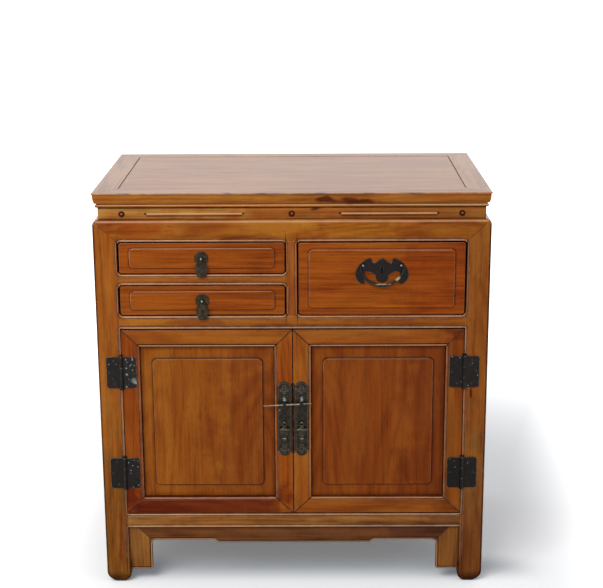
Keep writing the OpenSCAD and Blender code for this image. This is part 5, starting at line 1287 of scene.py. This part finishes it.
def eased(places, steps):
    """The columns of some rows of numbers in mm, read off evenly between the rows, in metres."""
    at = np.linspace(0, len(places) - 1, steps)
    return [np.interp(at, range(len(places)), column) * MM for column in np.array(places, float).T]


EYE_OUT, BAR_R, ARM_X = 6.2 * MM, 1.0 * MM, 4.0
HALF_YOKE = [(-ARM_X, -5.4), (-ARM_X, -1.2), (-3.75, -0.35), (-3.1, 0.0), (-2.0, 0.0)]


def yoke(work, x, z):
    """The bar that turns in the eye, with its two arms bent down; x and z are the bar's middle."""
    path = HALF_YOKE + [(-px, pz) for px, pz in reversed(HALF_YOKE)]
    thick = [BAR_R] * len(path)
    rod(work, [(x + px * MM, z + pz * MM) for px, pz in path], thick, thick, EYE_OUT, sides=14)


print("loft helper is ready")

# %% [markdown]
# ## Lock pin
#
# The pin is a thin brass rod, drawn out to a point at its right end. It lies a little aslant through both
# lugs.

# %% Lock pin
pin_brass = dark_brass("pin_brass", 88, tone=srgb(142, 134, 110), tint=srgb(112, 98, 74), rough=0.3, wear=0.0,
                       specks=0.0, coat=0.3)
PIN_LEFT, PIN_RIGHT, PIN_OUT, PIN_SLOPE = -0.0605, 0.0385, 9.4 * MM, math.tan(math.radians(2.8))
# place along the pin and radius in mm
PIN_SHAPE = [(0.0, 1.1), (0.02, 1.6), (0.35, 1.5), (0.55, 1.75), (0.75, 1.6), (0.9, 1.1), (1.0, 0.6)]
along = [PIN_LEFT + share * (PIN_RIGHT - PIN_LEFT) for share, _ in PIN_SHAPE]
thick = [radius * MM for _, radius in PIN_SHAPE]
work = bmesh.new()
rod(work, [(x, LOCK_PIN_Z + x * PIN_SLOPE) for x in along], thick, thick, PIN_OUT, sides=20)
fitting("lock_pin_rod", work, pin_brass, "lock_pin")
print("lock pin: 1 piece")

# %% [markdown]
# ## Basket pulls
#
# A small flattened basket hangs from each lock plate: a neck below the bar, a wide ribbed rim, a fluted
# body that tapers, and a round finial. The skin gives the body, and small ribs are set round the rim by
# Geometry Nodes.

# %% Rib tree
RIB_INPUTS = ["Half Width", "Half Depth", "Rib Radius", "Rib Height", "Count"]
net, given, gives, RIBS = rule("ribs_round_rim", RIB_INPUTS)
oval = net.put("GeometryNodeCurvePrimitiveCircle", {"Resolution": 64, "Radius": 1.0})
oval = resized(net, oval, given["Half Width"], given["Half Depth"], 1.0)
spread = net.put("GeometryNodeCurveToPoints", {"Curve": oval, "Count": given["Count"]})
rib = net.put("GeometryNodeMeshUVSphere", {"Segments": 8, "Rings": 6, "Radius": 1.0})
rib = resized(net, rib, given["Rib Radius"], given["Rib Radius"], given["Rib Height"])
ribs = net.put("GeometryNodeInstanceOnPoints", {"Points": spread, "Instance": rib})
set_down = net.put("GeometryNodeInstanceOnPoints", {"Points": given["Geometry"], "Instance": ribs})
end_with(net, set_down, given, gives)
print("rib tree:", len(RIBS.nodes), "nodes")

# %% Basket pulls
BASKET = [
    # depth below the bar, half width and half depth, in mm
    (4.6, 5.0, 1.0), (5.6, 4.6, 1.4), (7.4, 3.3, 1.8), (9.2, 3.9, 2.1), (10.8, 5.6, 2.4),
    (12.1, 8.8, 2.9), (12.8, 10.4, 3.2), (14.4, 10.8, 3.3), (16.2, 10.4, 3.2), (16.9, 9.2, 2.9),
    (18.2, 8.8, 2.8), (21.5, 8.3, 2.7), (25.0, 7.3, 2.5), (28.5, 5.9, 2.3), (31.0, 4.6, 2.1),
    (32.3, 3.9, 1.9), (33.2, 4.4, 2.1), (34.6, 5.0, 2.5), (36.2, 4.9, 2.5), (37.8, 4.3, 2.3),
    (39.4, 3.1, 1.9), (40.5, 1.6, 1.2), (41.0, 0.4, 0.4),
]
RIM_DOWN = 14.5 * MM
RIB_SIZES = {"Half Width": 10.2 * MM, "Half Depth": 2.9 * MM, "Rib Radius": 0.62 * MM, "Rib Height": 1.7 * MM,
             "Count": 22.0, "Seed": 0}
# a painted highlight on each finial
finial_painted_highlights = [fitting_spot(side * PLATE_X, DOOR_EYE_Z - 33.8 * MM, 8.5, (4.6, 5, 1.1), GREY_SPOT_AND_HIGHLIGHT, 0.9)
           for side in BOTH]
pull_brass = dark_brass("pull_brass", 89, tone=srgb(62, 52, 40), tint=srgb(36, 32, 26), rough=0.28, wear=0.9,
                        specks=0.02, stains=finial_painted_highlights)
drops, widths, depths = eased(BASKET, 67)
for side, x in (("left", -PLATE_X), ("right", PLATE_X)):
    node = f"door_{side}_pull"
    work = bmesh.new()
    path = [(x, DOOR_EYE_Z - drop) for drop in drops]
    rod(work, path, widths, depths, EYE_OUT, sides=56, flutes=14, flute_depth=0.025)
    yoke(work, x, DOOR_EYE_Z)
    fitting(f"door_{side}_basket", work, pull_brass, node)
    # the ribs get one share of edge wear over their whole surface, which paints them paler, partly as a
    # painted highlight
    baked_by(RIBS, f"door_{side}_basket_ribs", [(x, FRONT_Y - EYE_OUT, DOOR_EYE_Z - RIM_DOWN)],
             {**RIB_SIZES, "Finish": pull_brass}, node_body[node], rubbed=0.45)
print("basket pulls: 2 pieces and their ribs")

# %% [markdown]
# ## Small drawers' plates and pulls
#
# Behind each small pull lies a domed plate with eight petals and an eye. The pull is a flat gourd: narrow
# at the neck, wide below it, and drawn in a little before its round end. The lower one is pierced, and wood
# shows through.

# %% Petal plates
PETALS, PETAL_RING, PETAL_R, PETAL_SIDES = 8, 8.6, 6.4, 96
# share of the plate's reach and height in mm, from the back edge to the middle
PETAL_RISE = ((0.995, 0.0), (1.0, 0.5), (0.985, 1.1), (0.9, 1.7), (0.78, 2.05), (0.64, 2.2), (0.5, 2.2),
              (0.36, 2.15), (0.22, 2.1))
EYE_X, PAST_PLATE = -0.182225, 2.5 * MM
SMALL_EYES = {"upper_left": 0.7129, "lower_left": 0.62455}
# a painted highlight on the top of each eye
eye_painted_highlights = [fitting_spot(EYE_X - 0.6 * MM, z + 1.6 * MM, 8, (1.5, 6, 4.2), WARM_PAINTED_HIGHLIGHT, 0.75)
            for z in SMALL_EYES.values()]
plate_brass = dark_brass("plate_brass", 90, tone=srgb(52, 40, 24), tint=srgb(25, 25, 18), rough=0.3, wear=0.7,
                         specks=0.02, stains=eye_painted_highlights)


def petal_reach(turn):
    """Distance from the middle to the edge of the petal plate, in mm."""
    step = 2 * math.pi / PETALS
    off = turn % step - step / 2
    across = PETAL_RING * math.sin(off)
    return PETAL_RING * math.cos(off) + math.sqrt(PETAL_R ** 2 - across ** 2)


def petal_plate(work, x, z):
    """A domed plate with petals; its back lies on the drawer front."""
    rows = []
    for share, rise in PETAL_RISE:
        points = []
        for turn in circle(PETAL_SIDES):
            groove = 0.7 * share ** 2 * abs(math.sin(PETALS * turn / 2)) ** 6 if rise > 1 else 0.0
            reach = share * petal_reach(turn) * MM
            y = FRONT_Y - (rise - groove) * MM
            points.append((x + reach * math.cos(turn), y, z + reach * math.sin(turn)))
        rows.append(points)
    skin(work, rows)


def eye_from_cad(node):
    """The solid in a plate's node that stands out past the plate: its eye."""
    work = merged_copy(node)
    out = {v for v in work.verts if v.co.y < FRONT_Y - PAST_PLATE}
    found = set()
    while out:
        v = out.pop()
        found.add(v)
        out |= {e.other_vert(v) for e in v.link_edges} - found
    bmesh.ops.delete(work, geom=[v for v in work.verts if v not in found], context="VERTS")
    return work


for drawer, z in SMALL_EYES.items():
    node = f"drawer_{drawer}_plate"
    work = eye_from_cad(node)
    petal_plate(work, EYE_X, z)
    fitting(f"drawer_{drawer}_petals", work, plate_brass, node)
print("petal plates: 2 pieces")

# %% [markdown]
# ## Gourd pulls
#
# The pull's outline is given at a few depths below its bar. The hole of the lower pull is cut with a
# boolean, since a loft can't have one.

# %% Gourd pulls
GOURD = [
    # depth below the bar, half width and half depth, in mm
    (4.6, 6.0, 0.9), (5.4, 6.1, 1.2), (8.0, 7.8, 1.4), (11.0, 10.2, 1.6), (14.0, 12.0, 1.7),
    (17.5, 12.9, 1.8), (21.6, 12.9, 1.9), (25.0, 12.2, 1.9), (27.5, 11.2, 1.7), (29.5, 10.2, 1.5),
    (31.0, 10.0, 1.5), (33.0, 9.8, 1.6), (35.0, 8.8, 1.6), (36.8, 6.8, 1.4), (38.0, 3.8, 1.1),
    (38.5, 0.8, 0.5),
]
HOLE_DOWN, HOLE_R, HOLE_TALL, DRILL_OUT = 20.5 * MM, 3.0 * MM, 1.3, 12 * MM


def pierced(work, drill_work):
    """Cuts one closed shape out of another."""
    pair = []
    for name, shape in (("gourd", work), ("drill", drill_work)):
        bmesh.ops.recalc_face_normals(shape, faces=shape.faces)
        pair.append(in_scene(name, mesh_from(shape, name)))
    gourd, drill = pair
    cut = gourd.modifiers.new("pierced", "BOOLEAN")
    cut.operation = "DIFFERENCE"
    cut.object = drill
    mesh = applied(gourd)
    result = bmesh.new()
    result.from_mesh(mesh)
    for old in (gourd.data, drill.data, mesh):
        bpy.data.meshes.remove(old)
    return result


drops, widths, depths = eased(GOURD, 46)
for drawer, z in SMALL_EYES.items():
    work = bmesh.new()
    rod(work, [(EYE_X, z - drop) for drop in drops], widths, depths, EYE_OUT, sides=40)
    if drawer == "lower_left":
        drill_work = bmesh.new()
        skin(drill_work, [[(EYE_X + HOLE_R * math.cos(t), y, z - HOLE_DOWN + HOLE_TALL * HOLE_R * math.sin(t))
                           for t in circle(20)] for y in (FRONT_Y - DRILL_OUT, FRONT_Y)])
        work = pierced(work, drill_work)
    yoke(work, EYE_X, z)
    fitting(f"drawer_{drawer}_gourd", work, plate_brass, f"drawer_{drawer}_pull")
print("gourd pulls: 2 pieces")

# %% [markdown]
# ## Bat plate and bail
#
# The large drawer has a plate in the shape of a bat with spread wings, a keyhole, two posts and a crescent
# bail. The plate keeps its CAD outline. The bail is a rod that is thickest at its lowest point, with ends
# turned into the posts.

# %% Bat plate
POST_OUT, POST_X, KEYHOLE_Z = 7.0 * MM, 38.5 * MM, 0.6868
# painted highlights on the tops of the posts, and painted shade: a black patch round the keyhole
bat_highlights_and_shade = [fitting_spot(BAT_X + side * POST_X, BAT_Z + 1.6 * MM, 9, (4.2, 5, 3.0), GREY_SPOT_AND_HIGHLIGHT, 0.9)
              for side in BOTH]
bat_highlights_and_shade += [fitting_spot(BAT_X, KEYHOLE_Z, 0, (4.0, 8, 9.5), srgb(4, 4, 4), 1.0)]
bat_brass = dark_brass("bat_brass", 91, tone=srgb(24, 14, 10), tint=srgb(12, 12, 11), rough=0.32, wear=0.4,
                       specks=0.0, coat=0.6, stains=bat_highlights_and_shade)
softened_metal("drawer_right_plate", bat_brass, steps=3)
print("bat plate: 1 piece")

# %% [markdown]
# ## Bail
#
# The bail is half an ellipse that swells towards its middle. Its ends stand up beside the posts, and a
# short bar runs from each end into its post.

# %% Bail
BAIL_X, BAIL_DROP, BAIL_STEPS = 43.6 * MM, 40.5 * MM, 56
END_UP, END_R, BAIL_R, THICKER, DEEPER = 1.8 * MM, 0.8 * MM, 1.6 * MM, 2.3 * MM, 0.2 * MM
# place and radius of the ends that are turned into the posts, in mm
TURNED_IN = ((35.0, 0.8), (35.3, 1.2), (39.0, 1.2), (42.0, 1.2), (43.6, 1.1))
turns = [math.pi * k / BAIL_STEPS for k in range(BAIL_STEPS + 1)]
end = [(BAIL_X, END_UP / 2), (BAIL_X, END_UP)]
crescent = [(-BAIL_X * math.cos(t), -BAIL_DROP * math.sin(t)) for t in turns]
path = [(-x, z) for x, z in reversed(end)] + crescent + end
low = [0.0, 0.0] + [math.sin(t) ** 1.5 for t in turns] + [0.0, 0.0]
widths = [BAIL_R + THICKER * share for share in low]
depths = [BAIL_R + DEEPER * share for share in low]
widths[0] = widths[-1] = depths[0] = depths[-1] = END_R
work = bmesh.new()
rod(work, [(BAT_X + x, BAT_Z + z) for x, z in path], widths, depths, POST_OUT, sides=20)
thick = [radius * MM for _, radius in TURNED_IN]
for side in BOTH:
    rod(work, [(BAT_X + side * x * MM, BAT_Z) for x, _ in TURNED_IN], thick, thick, POST_OUT, sides=14)
# painted highlights on the bail's lowest part and on its right side
bail_brass = dark_brass("bail_brass", 92, tone=srgb(38, 33, 27), tint=srgb(20, 18, 16), rough=0.3, specks=0.0,
                        coat=0.5,
                        stains=[fitting_spot(BAT_X, BAT_Z - 38.2 * MM, 7, (19, 8, 1.7), WARM_PAINTED_HIGHLIGHT, 0.6),
                                fitting_spot(BAT_X + 31 * MM, BAT_Z - 25.5 * MM, 7, (6, 8, 5), WARM_PAINTED_HIGHLIGHT, 0.8)])
fitting("bail_rod", work, bail_brass, "drawer_right_bail")
print("bail: 1 piece")

# %% [markdown]
# ## Studio
#
# The photograph has a white background, a grey shadow under the cabinet, and even light from the front. The
# lens is long and the camera looks down a little.

# %% Camera
CAMERA_AT = Vector((0.0373239, -2.956113, 1.3767724))
TILT, YAW, ROLL = 0.2647, -0.0068, -0.0052
LENS_PIXELS, FRAME_PIXELS, SENSOR = 1394.64, 603, 36.0
right = Vector((math.cos(YAW), -math.sin(YAW), 0))
ahead = Vector((math.sin(YAW) * math.cos(TILT), math.cos(YAW) * math.cos(TILT), -math.sin(TILT)))
down = Vector((-math.sin(YAW) * math.sin(TILT), -math.cos(YAW) * math.sin(TILT), -math.cos(TILT)))
axis_x = math.cos(ROLL) * right - math.sin(ROLL) * down
axis_y = -(math.sin(ROLL) * right + math.cos(ROLL) * down)
camera = in_scene("camera", bpy.data.cameras.new("camera"))
camera.data.sensor_width = SENSOR
camera.data.lens = LENS_PIXELS / FRAME_PIXELS * SENSOR
camera.data.clip_end = 100
camera.matrix_world = Matrix.Translation(CAMERA_AT) @ Matrix((axis_x, axis_y, -ahead)).transposed().to_4x4()
bpy.context.scene.camera = camera
print("camera lens:", round(camera.data.lens, 2), "mm")

# %% [markdown]
# ## Floor
#
# The floor is white wherever the camera sees it, apart from the shadow. So it shines by itself, but only
# for the camera, and this shine is weak and a little bluish in the middle, where the shadow lies. The paint
# below it carries a painted shadow: a duller band under the cabinet's front edge.

# %% Floor
FLOOR_HALF, FLOOR_LIT, FLOOR_SEEN = 60.0, 0.75, 1.18
SHADOW_REACH, WHITE_FROM, SHADOW_TINT = 0.6, 1.9, (0.07, 0.1, 0.125, 1.0)
SHADOW_MIDDLE, BESIDE_FROM, BESIDE_WHITE = 0.06, 0.46, 0.85
# a painted shadow on the floor: a duller band under the cabinet's front edge
PAINTED_SHADOW_Y, PAINTED_SHADOW_REACH, PAINTED_SHADOW_LEVEL, PAINTED_SHADOW_LEFT, PAINTED_SHADOW_RIGHT = -0.165, 0.075, 0.58, (-0.42, -0.36), (0.44, 0.56)


def grey(value):
    """A colour with three equal parts."""
    return value, value, value, 1


def looked_at(net):
    """1 for a ray from the camera or from a reflection of it, 0 for a ray of light."""
    rays = net.put("ShaderNodeLightPath").node.outputs
    mirrored = net.higher(rays["Is Glossy Ray"], rays["Is Transmission Ray"])
    return net.higher(rays["Is Camera Ray"], mirrored)


floor_mesh = bpy.data.meshes.new("floor")
corners = [(x * FLOOR_HALF, y * FLOOR_HALF, 0) for x, y in ((-1, -1), (1, -1), (1, 1), (-1, 1))]
floor_mesh.from_pydata(corners, [], [(0, 1, 2, 3)])
floor = in_scene("floor", floor_mesh)
floor_paint = bpy.data.materials.new("pale_floor")
floor_paint.use_nodes = True
net = Net(floor_paint.node_tree)
net.tree.nodes.remove(net.tree.nodes["Principled BSDF"])
seen = looked_at(net)
place = net.put("ShaderNodeTexCoord", out="Object")
part = net.split(place)
# the painted shadow's band
painted_shadow = net.ramp(net.math("ABSOLUTE", net.minus(part["Y"], PAINTED_SHADOW_Y)), 0.0, PAINTED_SHADOW_REACH, 1.0, 0.0)
painted_shadow = net.times(painted_shadow, net.ramp(part["X"], *PAINTED_SHADOW_LEFT))
painted_shadow = net.times(painted_shadow, net.ramp(part["X"], *PAINTED_SHADOW_RIGHT, 1.0, 0.0))
paint = net.mix(seen, grey(FLOOR_LIT), net.mix(painted_shadow, grey(FLOOR_SEEN), grey(PAINTED_SHADOW_LEVEL * FLOOR_SEEN)))
aside = net.math("ABSOLUTE", net.minus(part["X"], SHADOW_MIDDLE))
away = net.vector("LENGTH", place, out="Value")
whiteness = net.higher(net.ramp(away, SHADOW_REACH, WHITE_FROM), net.ramp(aside, BESIDE_FROM, BESIDE_WHITE))
matt = net.put("ShaderNodeBsdfDiffuse", {"Color": paint})
white = net.put("ShaderNodeEmission", {"Color": net.mix(whiteness, SHADOW_TINT, grey(1)), "Strength": seen})
both = net.put("ShaderNodeAddShader", {0: matt, 1: white})
net.fill(net.tree.nodes["Material Output"].inputs, {"Surface": both})
floor_mesh.materials.append(floor_paint)
print("floor:", 2 * FLOOR_HALF, "m wide")

# %% [markdown]
# ## Lights
#
# One large soft box at the upper left gives the gentle shadow at the right, and the pale world fills the
# rest. The camera sees the world as pure white.

# %% Lights
BOX_AT, BOX_TARGET, BOX_SIZE, BOX_POWER = Vector((-1.4, -2.7, 3.1)), Vector((0, 0, 0.45)), (2.2, 1.8), 80
WORLD_LIGHT = 0.5
lamp = bpy.data.lights.new("front box", "AREA")
lamp.shape = "RECTANGLE"
lamp.size, lamp.size_y = BOX_SIZE
lamp.energy = BOX_POWER
holder = in_scene("front box", lamp)
holder.location = BOX_AT
holder.rotation_mode = "QUATERNION"
holder.rotation_quaternion = (BOX_TARGET - BOX_AT).to_track_quat("-Z", "Y")
world = bpy.data.worlds.new("studio")
bpy.context.scene.world = world
world.use_nodes = True
net = Net(world.node_tree)
strength = net.math("MULTIPLY_ADD", looked_at(net), 1.0 - WORLD_LIGHT, WORLD_LIGHT)
net.fill(world.node_tree.nodes["Background"].inputs, {"Strength": strength, "Color": grey(1)})
bpy.context.scene.view_settings.view_transform = "Standard"
print("studio is set")
